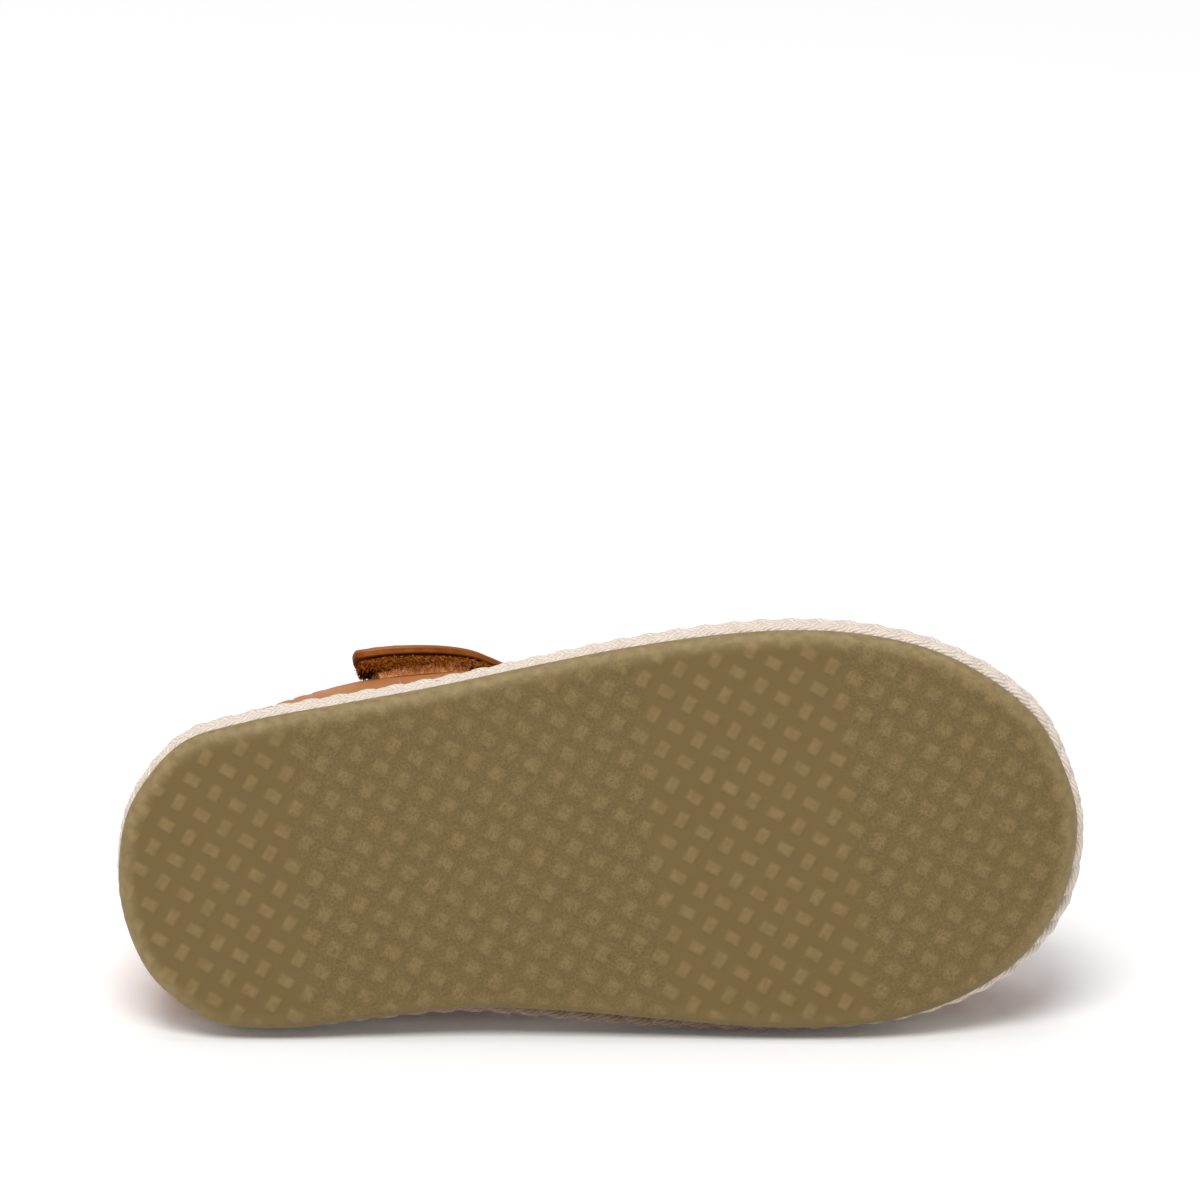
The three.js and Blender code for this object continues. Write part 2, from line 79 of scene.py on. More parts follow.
# Value of a table between its rows: a cubic with the slope of the rows on both sides.
def readTable(rows, column, at):
    rows = np.asarray(rows, dtype=float)
    place, value = rows[:, 0], rows[:, column]
    slope = np.gradient(value)
    slope[1:-1] = (value[2:] - value[:-2]) / (place[2:] - place[:-2])
    slope[0] = (value[1] - value[0]) / (place[1] - place[0])
    slope[-1] = (value[-1] - value[-2]) / (place[-1] - place[-2])
    row = np.clip(np.searchsorted(place, at, side="right") - 1, 0, len(place) - 2)
    run = place[row + 1] - place[row]
    t = np.clip((at - place[row]) / run, 0, 1)
    return (
        value[row] * (2 * t**3 - 3 * t**2 + 1) + slope[row] * run * (t**3 - 2 * t**2 + t)
        + value[row + 1] * (3 * t**2 - 2 * t**3) + slope[row + 1] * run * (t**3 - t**2)
    )


# Centripetal Catmull-Rom curve: a cubic between each pair of knots, whose end slopes come from
# the four knots around it and the square roots of the distances between them.
def catmullRom(knots, at, closed=False):
    knots = np.asarray(knots, dtype=float)
    count = len(knots)
    place = np.asarray(at, dtype=float) * (count if closed else count - 1)
    index = np.floor(place).astype(int)
    if closed:
        padded = knots[np.arange(-1, count + 3) % count]
    else:
        index = np.clip(index, 0, count - 2)
        padded = np.concatenate([2 * knots[:1] - knots[1:2], knots, 2 * knots[-1:] - knots[-2:-1]])
    share = (place - index)[..., None]
    p0, p1, p2, p3 = (padded[index + k] for k in range(4))
    step0, step1, step2 = (
        np.sqrt(np.linalg.norm(b - a, axis=-1, keepdims=True)) for a, b in ((p0, p1), (p1, p2), (p2, p3))
    )
    slope1 = step1 * ((p1 - p0) / step0 - (p2 - p0) / (step0 + step1) + (p2 - p1) / step1)
    slope2 = step1 * ((p2 - p1) / step1 - (p3 - p1) / (step1 + step2) + (p3 - p2) / step2)
    return (
        p1 + slope1 * share + (3 * (p2 - p1) - 2 * slope1 - slope2) * share**2
        + (2 * (p1 - p2) + slope1 + slope2) * share**3
    )


# Sole outline: share of the length, then shares of the ball width to the outer and inner side.
outline = np.array([
    (0, 0.015, -0.015), (0.01, 0.172, 0.124), (0.03, 0.262, 0.22), (0.08, 0.371, 0.325),
    (0.15, 0.408, 0.361), (0.25, 0.43, 0.358), (0.35, 0.451, 0.356), (0.45, 0.478, 0.387),
    (0.55, 0.501, 0.431), (0.65, 0.511, 0.474), (0.73, 0.503, 0.491), (0.8, 0.474, 0.485),
    (0.87, 0.414, 0.443), (0.93, 0.317, 0.366), (0.97, 0.211, 0.262), (0.99, 0.097, 0.16),
    (1, -0.03, 0.03),
])
outerKnots = np.column_stack([outline[:, 0] * shoe["length"], -outline[:, 1] * shoe["ballWidth"]])
innerKnots = np.column_stack([outline[:, 0] * shoe["length"], outline[:, 2] * shoe["ballWidth"]])
edgeFine = catmullRom(np.concatenate([outerKnots, innerKnots[-2:0:-1]]), np.linspace(0, 1, 8001), closed=True)
edgeRun = np.concatenate([[0], np.cumsum(np.linalg.norm(np.diff(edgeFine, axis=0), axis=1))])
edgeLength = edgeRun[-1]
edgeTurns = np.linspace(0, 1, 4001)
edgeXY = np.column_stack([np.interp(edgeTurns * edgeLength, edgeRun, edgeFine[:, k]) for k in (0, 1)])
edgeAlong = unit(np.roll(edgeXY[:-1], -1, axis=0) - np.roll(edgeXY[:-1], 1, axis=0))
edgeAlong = np.concatenate([edgeAlong, edgeAlong[:1]])


# Heading of the sole's edge at a share of the way round: 0 heel tip, 0.5 toe tip, by the outer side.
def edgeHeading(turn):
    return np.interp(turn % 1, edgeTurns, edgeAlong[:, 0]), np.interp(turn % 1, edgeTurns, edgeAlong[:, 1])


# Point of the edge, moved square to it by a distance.
def edgePoint(turn, outwards=0.0):
    alongX, alongY = edgeHeading(turn)
    x, y = (np.interp(turn % 1, edgeTurns, edgeXY[:, k]) for k in (0, 1))
    return x + outwards * alongY, y - outwards * alongX


# Lift of the layers at x: a parabola over the last 0.3 of the length.
def spring(x):
    start = 0.7 * shoe["length"]
    return shoe["toeSpring"] * np.maximum(0, (x - start) / (shoe["length"] - start)) ** 2


def proudAt(turn):
    fromHeel = np.minimum(turn % 1, 1 - turn % 1) / 0.16
    return mix(shoe["ropeProudHeel"], shoe["ropeProud"], smoothstep(fromHeel, 0, 1))


def lastInset(turn):
    return proudAt(turn) - shoe["featherInset"] - shoe["leather"]


# Crown of the last: share along the crown, height / instep, sideways / ball width, fullness.
crown = [
    (0, 1.3, 0, 2.6), (0.2, 1.26, 0, 2.6), (0.3, 1.19, 0, 2.8), (0.4, 1.08, 0.01, 2.4),
    (0.55, 0.9, 0.03, 2.25), (0.7, 0.75, 0.05, 2.25), (0.85, 0.64, 0.06, 2.35), (1, 0.56, 0.05, 2.4),
]
# Top line of the quarter: share of the way from heel to toe, height.
topLine = [
    (0, shoe["heelHeight"]),
    (0.1, shoe["heelHeight"] - 0.35 * (shoe["heelHeight"] - shoe["collarDip"])),
    (0.19, shoe["collarDip"]),
    (0.27, 0.5 * (shoe["collarDip"] + shoe["wingHeight"])),
    (0.34, shoe["wingHeight"]),
    (0.4, shoe["wingHeight"]),
]


# Point on the last: a superellipse arc from the edge of the sole (rise 0) to the crown (rise 1)
# and on to the other side (rise 2), at a share of the way from heel to toe, moved out by offset.
def lastPoint(way, rise, offset=0.0, side=1.0):
    way, rise, offset, side = np.broadcast_arrays(*(np.asarray(v, dtype=float) for v in (way, rise, offset, side)))
    onSide = np.where(rise > 1, -side, side)
    angle = np.clip(np.minimum(rise, 2 - rise), 0, 1) * np.pi / 2
    turn = (1 + onSide * way / 2) % 1
    footX, footY = edgePoint(turn, lastInset(turn) + offset)
    topX = mix(shoe["crownStart"], shoe["crownEnd"], way) * shoe["length"]
    topY = readTable(crown, 2, way) * shoe["ballWidth"]
    topZ = readTable(crown, 1, way) * shoe["instep"] + spring(topX) + offset
    power = readTable(crown, 3, way)
    radius = (np.cos(angle) ** power + np.sin(angle) ** power) ** (-1 / power)
    out, up = np.cos(angle) * radius, np.sin(angle) * radius
    footZ = marginBottom + spring(footX)
    return np.stack([mix(topX, footX, out), mix(topY, footY, out), mix(footZ, topZ, up)], axis=-1)


# Rise at which the last reaches a height, by halving.
def riseAtHeight(way, side, height):
    low, high = np.zeros_like(way), np.ones_like(way)
    for _ in range(24):
        middle = (low + high) / 2
        below = lastPoint(way, middle, 0, side)[..., 2] < height
        low, high = np.where(below, middle, low), np.where(below, high, middle)
    return low


# The shoe's frame in the row, from the two tread mounts: the tread's normal is -Z of the shoe.
mounts = {mount["name"]: mount for mount in frame["record"]["mounts"]}
heelSpot, ballSpot = np.array([30.3, -1.7, 0]), np.array([94.3, -1.3, 0])
heelPlace, ballPlace = (np.array(mounts[name]["pos_m"]) for name in ("tread_heel", "tread_forefoot"))
upAxis = -unit(np.array(mounts["tread_heel"]["axis"], dtype=float))
towardsBall = unit(ballPlace - heelPlace)
spotAngle = np.arctan2(*(ballSpot - heelSpot)[1::-1])
footAxis = unit(np.cos(spotAngle) * towardsBall - np.sin(spotAngle) * np.cross(upAxis, towardsBall))
shoeAxes = np.stack([footAxis, np.cross(upAxis, footAxis), upAxis])
shoeOrigin = heelPlace - heelSpot @ shoeAxes / perMm


def toRow(points):
    return shoeOrigin + points @ shoeAxes / perMm


# Quads over points stored row by row, with each corner's row and column for its UV.
def gridFaces(rows, columns, closeRows=False, closeColumns=False):
    i, j = np.meshgrid(np.arange(rows - (not closeRows)), np.arange(columns - (not closeColumns)), indexing="ij")
    corners = np.stack([np.stack([i, j], -1), np.stack([i + 1, j], -1), np.stack([i + 1, j + 1], -1),
                        np.stack([i, j + 1], -1)], axis=-2).reshape(-1, 4, 2)
    return (corners[..., 0] % rows) * columns + corners[..., 1] % columns, corners


# Faces over a closed ring of points: rungs from its outer to its inner side, and its two tips.
def rungFaces(steps):
    k = np.arange(1, steps // 2 - 1)
    tips = np.array([(0, 1, steps - 1), (steps // 2 - 1, steps // 2, steps // 2 + 1)])
    return np.column_stack([k, k + 1, steps - k - 1, steps - k]), tips


# Six times the volume that faces enclose, positive where they point outwards.
def enclosed(points, faceSets):
    total = 0.0
    for faces in faceSets:
        for k in range(1, faces.shape[1] - 1):
            a, b, c = points[faces[:, 0]], points[faces[:, k]], points[faces[:, k + 1]]
            total += np.einsum("ij,ij->", a, np.cross(b, c))
    return total


# One closed piece: points in the shoe's millimetres, faces as arrays of three or four corners.
# materialOf gives each face its material, corners each face corner its UV, values a number per point.
def makePiece(name, points, faceSets, materials, materialOf=None, corners=None, values=None, weld=0.0):
    points = np.asarray(points, dtype=float).reshape(-1, 3)
    if enclosed(points - points.mean(axis=0), faceSets) < 0:
        faceSets = [faces[:, ::-1] for faces in faceSets]
        corners = [uv[:, ::-1] for uv in corners] if corners else None
    sizes = np.concatenate([np.full(len(faces), faces.shape[1]) for faces in faceSets])
    loops = np.concatenate([faces.ravel() for faces in faceSets])
    mesh = bpy.data.meshes.new(name)
    mesh.vertices.add(len(points))
    mesh.vertices.foreach_set("co", toRow(points).astype(np.float32).ravel())
    mesh.loops.add(len(loops))
    mesh.loops.foreach_set("vertex_index", loops.astype(np.int32))
    mesh.polygons.add(len(sizes))
    mesh.polygons.foreach_set("loop_start", np.concatenate([[0], np.cumsum(sizes)[:-1]]).astype(np.int32))
    if materialOf is not None:
        mesh.polygons.foreach_set("material_index", np.concatenate(materialOf).astype(np.int32))
    for key, numbers in (values or {}).items():
        layer = mesh.attributes.new(key, "FLOAT", "POINT")
        layer.data.foreach_set("value", np.asarray(numbers, dtype=np.float32).ravel())
    if corners:
        layer = mesh.uv_layers.new(name="along")
        uvs = np.concatenate([uv.reshape(-1, 2) for uv in corners])
        layer.data.foreach_set("uv", uvs.astype(np.float32).ravel())
    mesh.update(calc_edges=True)
    if weld:
        work = bmesh.new()
        work.from_mesh(mesh)
        bmesh.ops.remove_doubles(work, verts=work.verts, dist=weld / perMm)
        work.to_mesh(mesh)
        work.free()
    mesh.validate()
    mesh.shade_smooth()
    for material in materials:
        mesh.materials.append(material)
    piece = bpy.data.objects.new(name, mesh)
    bpy.context.scene.collection.objects.link(piece)
    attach(piece, "root")
    print(f"{name}: {sum(len(f) * (f.shape[1] - 2) for f in faceSets)} triangles")
    return piece


# Materials

# sRGB hex to the linear colour that shaders take.
def colour(code):
    channels = np.array([int(code[k:k + 2], 16) for k in (0, 2, 4)]) / 255
    linear = np.where(channels <= 0.04045, channels / 12.92, ((channels + 0.055) / 1.055) ** 2.4)
    return (*linear, 1.0)


# One node: settings by name, inputs by name or number, linked where the value is a socket.
def addNode(tree, kind, settings=None, inputs=None):
    node = tree.nodes.new("ShaderNode" + kind)
    for key, value in (settings or {}).items():
        setattr(node, key, value)
    for key, value in (inputs or {}).items():
        if isinstance(value, bpy.types.NodeSocket):
            tree.links.new(value, node.inputs[key])
        else:
            node.inputs[key].default_value = value
    return node


# A number that each point of the mesh carries.
def readValue(tree, name):
    return addNode(tree, "Attribute", dict(attribute_name=name)).outputs["Fac"]


# Noise whose grains have a size in millimetres.
def addNoise(tree, where, sizeMm, detail, **more):
    inputs = {"Vector": where, "Scale": perMm / sizeMm, "Detail": detail, **more}
    return addNode(tree, "TexNoise", None, inputs).outputs["Fac"]


def addMath(tree, operation, *values):
    return addNode(tree, "Math", dict(operation=operation), dict(enumerate(values))).outputs[0]


# A range of a value taken to another range, and held at its ends.
def addRange(tree, value, fromMin, fromMax, toMin=0.0, toMax=1.0):
    inputs = {"Value": value, "From Min": fromMin, "From Max": fromMax, "To Min": toMin, "To Max": toMax}
    return addNode(tree, "MapRange", None, inputs).outputs[0]


# From a first colour to a second one by a share. Each is a hex code or a socket.
def addMix(tree, share, first, second):
    first, second = (colour(end) if isinstance(end, str) else end for end in (first, second))
    return addNode(tree, "Mix", dict(data_type="RGBA"), {0: share, 6: first, 7: second}).outputs[2]


def addBump(tree, strength, depthMm, height, **more):
    inputs = {"Strength": strength, "Distance": depthMm / perMm, "Height": height, **more}
    return addNode(tree, "Bump", None, inputs).outputs["Normal"]


# A material with its shader's constants, and the colour, roughness and bump that build makes.
def makeMaterial(name, constants, build):
    material = bpy.data.materials.new(name)
    material.use_nodes = True
    tree = material.node_tree
    shader = tree.nodes["Principled BSDF"]
    for key, value in constants.items():
        shader.inputs[key].default_value = value
    for key, socket in build(tree).items():
        tree.links.new(socket, shader.inputs[key])
    return material


# Gum rubber, moulded: olive brown and matt, paler where the pads rub, with a pebbled skin
# under the arch and the toes that breaks the light into fine grains, with painted shade in their
# hollows and a painted highlight on their tops. The rim is paler: rubbed wear and a painted highlight.
# dark is the painted shade of the grains' hollows, and rim the pale rim: rubbed wear with a painted highlight
gumRubberLook = dict(ground="715D36", pad="88724A", cloud="76623B", dark="5F4E2D", rim="A8946C",
                     cloudMm=9.0, grainMm=0.36, fineMm=0.24, rubMm=1.3)


def buildGumRubber(tree):
    look = gumRubberLook
    where = addNode(tree, "TexCoord").outputs["Object"]
    pad, zone, rim = (readValue(tree, name) for name in ("pad", "grain", "rim"))
    cloud = addNoise(tree, where, look["cloudMm"], 4)
    grain = addNoise(tree, where, look["grainMm"], 3, Roughness=0.65)
    fine = addNoise(tree, where, look["fineMm"], 2)
    rubbed = addNoise(tree, where, look["rubMm"], 3)
    grained = addMath(tree, "MULTIPLY", grain, zone)
    cloudy = addMix(tree, cloud, look["ground"], look["cloud"])
    # in the grained zones the pads are mottled and their edges broken
    mottle = addMath(tree, "MULTIPLY_ADD", zone, -0.4, grained)
    broken = addMath(tree, "MULTIPLY_ADD", mottle, 1.1, pad)
    padFull = addRange(tree, rubbed, 0.35, 0.65, 0.5, 1.0)
    padded = addMix(tree, addRange(tree, broken, 0.05, 0.98, 0.0, padFull), cloudy, look["pad"])
    # grains: painted shade in their hollows and a painted highlight on their tops, fading out with the zone
    hollowShadePaint = addMath(tree, "MULTIPLY", addRange(tree, grain, 0.5, 0.64, 0.0, 0.62), zone)
    hollowShaded = addMix(tree, hollowShadePaint, padded, look["dark"])
    topHighlightPaint = addMath(tree, "MULTIPLY", addRange(tree, grain, 0.48, 0.34, 0.0, 0.6), zone)
    topHighlighted = addMix(tree, topHighlightPaint, hollowShaded, look["pad"])
    # the rim is rubbed pale in patches, and painted paler still as a highlight, most on the outer side
    rimWearAndLight = addMath(tree, "MULTIPLY", rim, addRange(tree, rubbed, 0.3, 0.7, 0.55, 1.3))
    rimWornAndLit = addMix(tree, rimWearAndLight, topHighlighted, look["rim"])
    relief = addMath(tree, "MULTIPLY_ADD", fine, 0.12, grained)
    return {"Base Color": rimWornAndLit, "Normal": addBump(tree, 0.75, 0.17, relief),
            "Roughness": addRange(tree, cloud, 0.0, 1.0, 0.5, 0.68)}


# Cotton cord, spun and braided: cream and matt, soft yarns side by side with painted shade between them.
# shade is painted shade, between the yarns and in the filler; the soil colour is painted shade on the lower row's inner
# side
cottonLook = dict(yarn="F7ECE1", shade="A98F77", tint="EAD8C6", underShade="7C624A", filler="BDA381",
                  cloudMm=7.0, fibreMm=0.2)


def buildCotton(tree):
    look = cottonLook
    where = addNode(tree, "TexCoord").outputs["Object"]
    along = addNode(tree, "UVMap", dict(uv_map="along")).outputs["UV"]
    # one band of the wave for each whole number of the UV's first number
    wave = addNode(tree, "TexWave", dict(wave_type="BANDS", bands_direction="X", wave_profile="SIN"),
                   {"Vector": along, "Scale": np.pi / 10, "Distortion": 0.5, "Detail": 2, "Detail Scale": 9})
    yarns = wave.outputs["Fac"]
    fibres = addNoise(tree, where, look["fibreMm"], 3)
    dyed = addMix(tree, addNoise(tree, where, look["cloudMm"], 3), look["yarn"], look["tint"])
    shaded = addMix(tree, addRange(tree, yarns, 0.4, 0.02, 0.0, 0.45), dyed, look["shade"])
    # painted shade on the lower row's inner side, next to the floor
    underShaded = addMix(tree, readValue(tree, "underShade"), shaded, look["underShade"])
    relief = addMath(tree, "MULTIPLY_ADD", fibres, 1.1, yarns)
    return {"Base Color": underShaded, "Normal": addBump(tree, 0.75, 0.16, relief)}


# Cotton with one look all over: a cream or tan that changes slowly.
def plainCotton(light, dark):
    def build(tree):
        where = addNode(tree, "TexCoord").outputs["Object"]
        cloud = addNoise(tree, where, cottonLook["cloudMm"], 2)
        return {"Base Color": addMix(tree, cloud, cottonLook[light], cottonLook[dark])}
    return build


gumRubber = makeMaterial("mouldedGumRubber", {"Specular IOR Level": 0.22}, buildGumRubber)
braidedCotton = makeMaterial("braidedCotton", {"Roughness": 0.92, "Specular IOR Level": 0.15, "Sheen Weight": 0.25,
                                               "Sheen Roughness": 0.6}, buildCotton)
# Loose cotton fibres: the same cream, thin enough that only a soft haze shows.
cottonFibre = makeMaterial("looseCottonFibre", {"Roughness": 0.9, "Specular IOR Level": 0.1},
                           plainCotton("yarn", "tint"))
# Pressed filler between the ropes: darker than the cord as a painted shade, so it reads as shadow between the ropes and
# they stand out from it.
fillerPaintedShade = makeMaterial("fillerPaintedShade", {"Roughness": 0.95, "Specular IOR Level": 0.1}, plainCotton("filler", "shade"))
print("materials of the sole made")


# Outsole

tread = dict(
    pitch=4.02, angle=35.5, start=(18.5, -18.6),  # of the woven pattern, and one pad along its first thread
    longHalf=1.24, shortHalf=0.86, bevel=0.26, height=0.24,
    lines=(0, 0.45, 0.66, 1.0, 1.22, 1.48),  # grid lines each side of a pad's middle
    rim=2.2, clear=(0.7, 2.4),  # the grid's start, and where the relief starts and is full, from the edge
    # shares of the length with a pebbled skin, how softly they start, and what the pads gain there
    grained=((0.186, 0.56), (0.766, 1.1)), soften=0.02, blur=0.25, spread=0.16,
    scuffAndLight=(0.58, 0.14), scuffAndLightTo=3.1,  # paleness of the rim, rubbed wear and a painted highlight: on the outer side, which lies uppermost, and on the inner, and its width
    edgeSteps=960,
)


# 1 where the skin is pebbled, 0 where it is smooth.
def isGrained(x):
    share, soft = x / shoe["length"], tread["soften"]
    return sum(smoothstep(share, low - soft, low + soft) - smoothstep(share, high - soft, high + soft)
               for low, high in tread["grained"])


# A pad is the top of a thread: long one way, short the other, with a soft bevel, and its
# neighbours lie square to it. Height 1 on the pad, 0 on the ground.
def padHeight(x, y):
    angle = np.radians(tread["angle"])
    fromX, fromY = x - tread["start"][0], y - tread["start"][1]
    a = (fromX * np.cos(angle) + fromY * np.sin(angle)) / tread["pitch"]
    b = (fromX * np.sin(angle) - fromY * np.cos(angle)) / tread["pitch"]
    cellA, cellB = np.round(a), np.round(b)
    inA, inB = np.abs(a - cellA) * tread["pitch"], np.abs(b - cellB) * tread["pitch"]
    swap = (cellA + cellB) % 2 == 1
    inLong, inShort = np.where(swap, inB, inA), np.where(swap, inA, inB)
    grained = isGrained(x)
    inShort = inShort / (1 + tread["spread"] * grained)
    edge = tread["bevel"] * (1 + tread["blur"] * grained)
    top = (1 - smoothstep(inLong, tread["longHalf"] - edge, tread["longHalf"] + edge)) * (
        1 - smoothstep(inShort, tread["shortHalf"] - edge, tread["shortHalf"] + edge))
    return top * (1 - 0.12 * (inLong / tread["longHalf"]) ** 2)


# Distance from each point to the sole's edge, in blocks to save memory.
def edgeDistance(x, y):
    marks = edgeXY[:-1:2]
    blocks = np.array_split(np.column_stack([x, y]), max(1, len(x) // 2000))
    return np.concatenate([np.sqrt(((block[:, None] - marks) ** 2).sum(-1).min(axis=1)) for block in blocks])


# Even-odd test: a point is inside where a ray to the right crosses the loop an odd number of times.
def insideLoop(loop, x, y):
    nextLoop = np.roll(loop, -1, axis=0)
    y0, y1 = loop[:, 1], nextLoop[:, 1]
    crosses = (y0 > y[:, None]) != (y1 > y[:, None])
    rise = np.where(y1 == y0, 1, y1 - y0)
    at = loop[:, 0] + (y[:, None] - y0) / rise * (nextLoop[:, 0] - loop[:, 0])
    return (crosses & (x[:, None] < at)).sum(axis=1) % 2 == 1


# Depth of the tread: the ground is let in between the pads, where the edge is far enough.
def treadDepth(x, y, fromEdge):
    return tread["height"] * smoothstep(fromEdge, *tread["clear"]) * (1 - padHeight(x, y))


def makeOutsole():
    angle = np.radians(tread["angle"])
    threadA, threadB = np.array([np.cos(angle), np.sin(angle)]), np.array([np.sin(angle), -np.cos(angle)])
    # grid lines: the same few in every cell, so that each pad has its own crisp edges
    half = np.array(tread["lines"])
    cell = np.concatenate([-half[:0:-1], half, [tread["pitch"] / 2]])
    reach = int(shoe["length"] / tread["pitch"]) + 4
    lines = (np.arange(-reach, reach)[:, None] * tread["pitch"] + cell).ravel()
    a, b = np.meshgrid(lines, lines, indexing="ij")
    x = tread["start"][0] + a * threadA[0] + b * threadB[0]
    y = tread["start"][1] + a * threadA[1] + b * threadB[1]
    turns = np.arange(tread["edgeSteps"]) / tread["edgeSteps"]
    inner = np.column_stack(edgePoint(turns, -tread["rim"]))
    near = (x > 0) & (x < shoe["length"]) & (np.abs(y) < 0.6 * shoe["ballWidth"])
    inside, fromEdge = np.zeros(x.shape, bool), np.zeros(x.shape)
    fromEdge[near] = edgeDistance(x[near], y[near])
    keen = near & (fromEdge > tread["rim"] + 0.25)
    inside[keen] = insideLoop(inner[::4], x[keen], y[keen])
    kept = inside[:-1, :-1] & inside[1:, :-1] & inside[1:, 1:] & inside[:-1, 1:]
    number = np.full(x.shape, -1)
    used = np.zeros(x.shape, bool)
    for di, dj in ((0, 0), (1, 0), (1, 1), (0, 1)):
        used[di:di + kept.shape[0], dj:dj + kept.shape[1]] |= kept
    number[used] = np.arange(used.sum())
    i, j = np.nonzero(kept)
    quads = np.stack([number[i, j], number[i + 1, j], number[i + 1, j + 1], number[i, j + 1]], axis=1)
    gridX, gridY, gridFar = x[used], y[used], fromEdge[used]
    # rings of the rim from the top edge down the side and round to the tread
    bend = np.linspace(0, np.pi / 2, 6)
    radius = shoe["rimRadius"]
    profile = [(-0.35, shoe["outsole"]), (-0.1, shoe["outsole"] - 0.08), (0, shoe["outsole"] - 0.35)]
    profile += [(-radius * (1 - np.cos(t)), radius * (1 - np.sin(t))) for t in bend]
    profile += [(-tread["rim"], 0)]
    rings = []
    for outwards, z in profile:
        ringX, ringY = edgePoint(turns, outwards)
        rings.append(np.column_stack([ringX, ringY, z + spring(ringX) + treadDepth(ringX, ringY, -outwards)]))
    count, steps = len(profile), tread["edgeSteps"]
    ringFaces, _ = gridFaces(count, steps, closeColumns=True)
    # the band between the last ring and the stepped edge of the grid
    sides = np.concatenate([quads[:, [k, (k + 1) % 4]] for k in range(4)])
    pairs, seen = np.unique(np.sort(sides, axis=1), axis=0, return_counts=True)
    border = pairs[seen == 1]
    borderPoints = np.unique(border)
    local = np.searchsorted(borderPoints, border)
    flat = np.concatenate([inner, np.column_stack([gridX, gridY])[borderPoints]])
    edges = np.concatenate([np.column_stack([np.arange(steps), (np.arange(steps) + 1) % steps]), local + steps])
    _, _, bandFaces, origins, _, _ = delaunay_2d_cdt(
        [Vector(p) for p in flat], [tuple(e) for e in edges.tolist()], [], 0, 1e-6)
    back = np.array([origin[0] for origin in origins])
    band = back[np.array(bandFaces)]
    middle = flat[band].mean(axis=1)
    fromStart = middle - np.array(tread["start"])
    a, b = fromStart @ threadA, fromStart @ threadB
    rowOf, columnOf = np.searchsorted(lines, a, side="right") - 1, np.searchsorted(lines, b, side="right") - 1
    band = band[insideLoop(inner, middle[:, 0], middle[:, 1]) & ~kept[rowOf, columnOf]]
    ringEnd = (count - 1) * steps
    ringTotal = count * steps
    band = np.where(band < steps, band + ringEnd, ringTotal + borderPoints[np.maximum(band - steps, 0)])
    top, tips = rungFaces(steps)
    gridZ = spring(gridX) + treadDepth(gridX, gridY, gridFar)
    points = np.concatenate([*rings, np.column_stack([gridX, gridY, gridZ])])
    far = np.concatenate([np.repeat([-outwards for outwards, _ in profile], steps), gridFar])
    pads = padHeight(points[:, 0], points[:, 1]) * smoothstep(far, 0.5, 1.5)
    grain = isGrained(points[:, 0]) * smoothstep(far, -0.5, 1.6)
    fromMiddle = np.abs(points[:, 0] / shoe["length"] - 0.5)
    inwards = smoothstep(points[:, 1], -4, 20) * (1 - smoothstep(fromMiddle, 0.36, 0.48))
    # paleness of the rim: rubbed wear all round, plus a painted highlight that is strongest on the outer side, which
    # faces up
    rim = mix(*tread["scuffAndLight"], inwards) * (1 - smoothstep(far, 0, tread["scuffAndLightTo"]))

    def turned(faces, downwards):
        # faces of one patch, all pointing down or all up
        p = points[faces]
        area = np.cross(p[:, 1, :2] - p[:, 0, :2], p[:, 2, :2] - p[:, 0, :2])
        return np.where(((area > 0) == downwards)[:, None], faces[:, ::-1], faces)

    ringCheck = points[ringFaces[len(ringFaces) // 2]]
    outwardsOk = np.dot(np.cross(ringCheck[1] - ringCheck[0], ringCheck[2] - ringCheck[0]),
                        ringCheck.mean(axis=0) - [shoe["length"] / 2, 0, 1.8]) > 0
    ringFaces = ringFaces if outwardsOk else ringFaces[:, ::-1]
    faceSets = [ringFaces, turned(quads + ringTotal, True), turned(top, False), turned(tips, False),
                turned(band, True)]
    piece = makePiece("moulded_outsole", points, faceSets, [gumRubber], values=dict(pad=pads, grain=grain, rim=rim))
    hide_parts("outsole")


makeOutsole()


# Rope midsole

rope = dict(
    period=13.5, swing=0.92, weave=0.3,  # of the three strands of a row: length of a turn, up and down, in and out
    radiusOut=1.1, radiusUp=1.12, step=0.55, sides=12, yarns=8, yarnTurn=7.0,
    # way round, half width and distance where it stands out further or less
    swells=((0.755, 0.062, 1.3), (0.2, 0.09, -0.55), (0.455, 0.035, 0.5), (0.535, 0.03, 0.7), (0.58, 0.035, 0.7)),
    underShadeAt=0.76, underShadeReach=0.13, underShade=0.92,  # painted shade of the lower row, on the inner side next to the floor
    clearance=0.04, coreInset=2.6, hairs=1900, hairLength=(0.5, 1.3), hairWidth=0.032,
)
ropeLevels = [ropeBottom + shoe["ropeRow"] * share for share in (0.5, 1.5)]


# Middle line of a strand: it runs up and down by a sine and in and out by the sine of twice the
# angle, a third of a turn behind its neighbour, along the edge of the sole.
def strandPath(turn, strand, level, direction):
    periods = round(edgeLength / rope["period"])
    phase = 2 * np.pi * (direction * periods * turn + strand / 3)
    swell = sum(size * np.exp(-(((turn % 1 - at) / reach) ** 2)) for at, reach, size in rope["swells"])
    out = proudAt(turn) + swell - rope["radiusOut"] - rope["weave"] + rope["weave"] * np.sin(2 * phase)
    x, y = edgePoint(turn, out)
    return np.column_stack([x, y, level + rope["swing"] * np.sin(phase) + spring(x)])


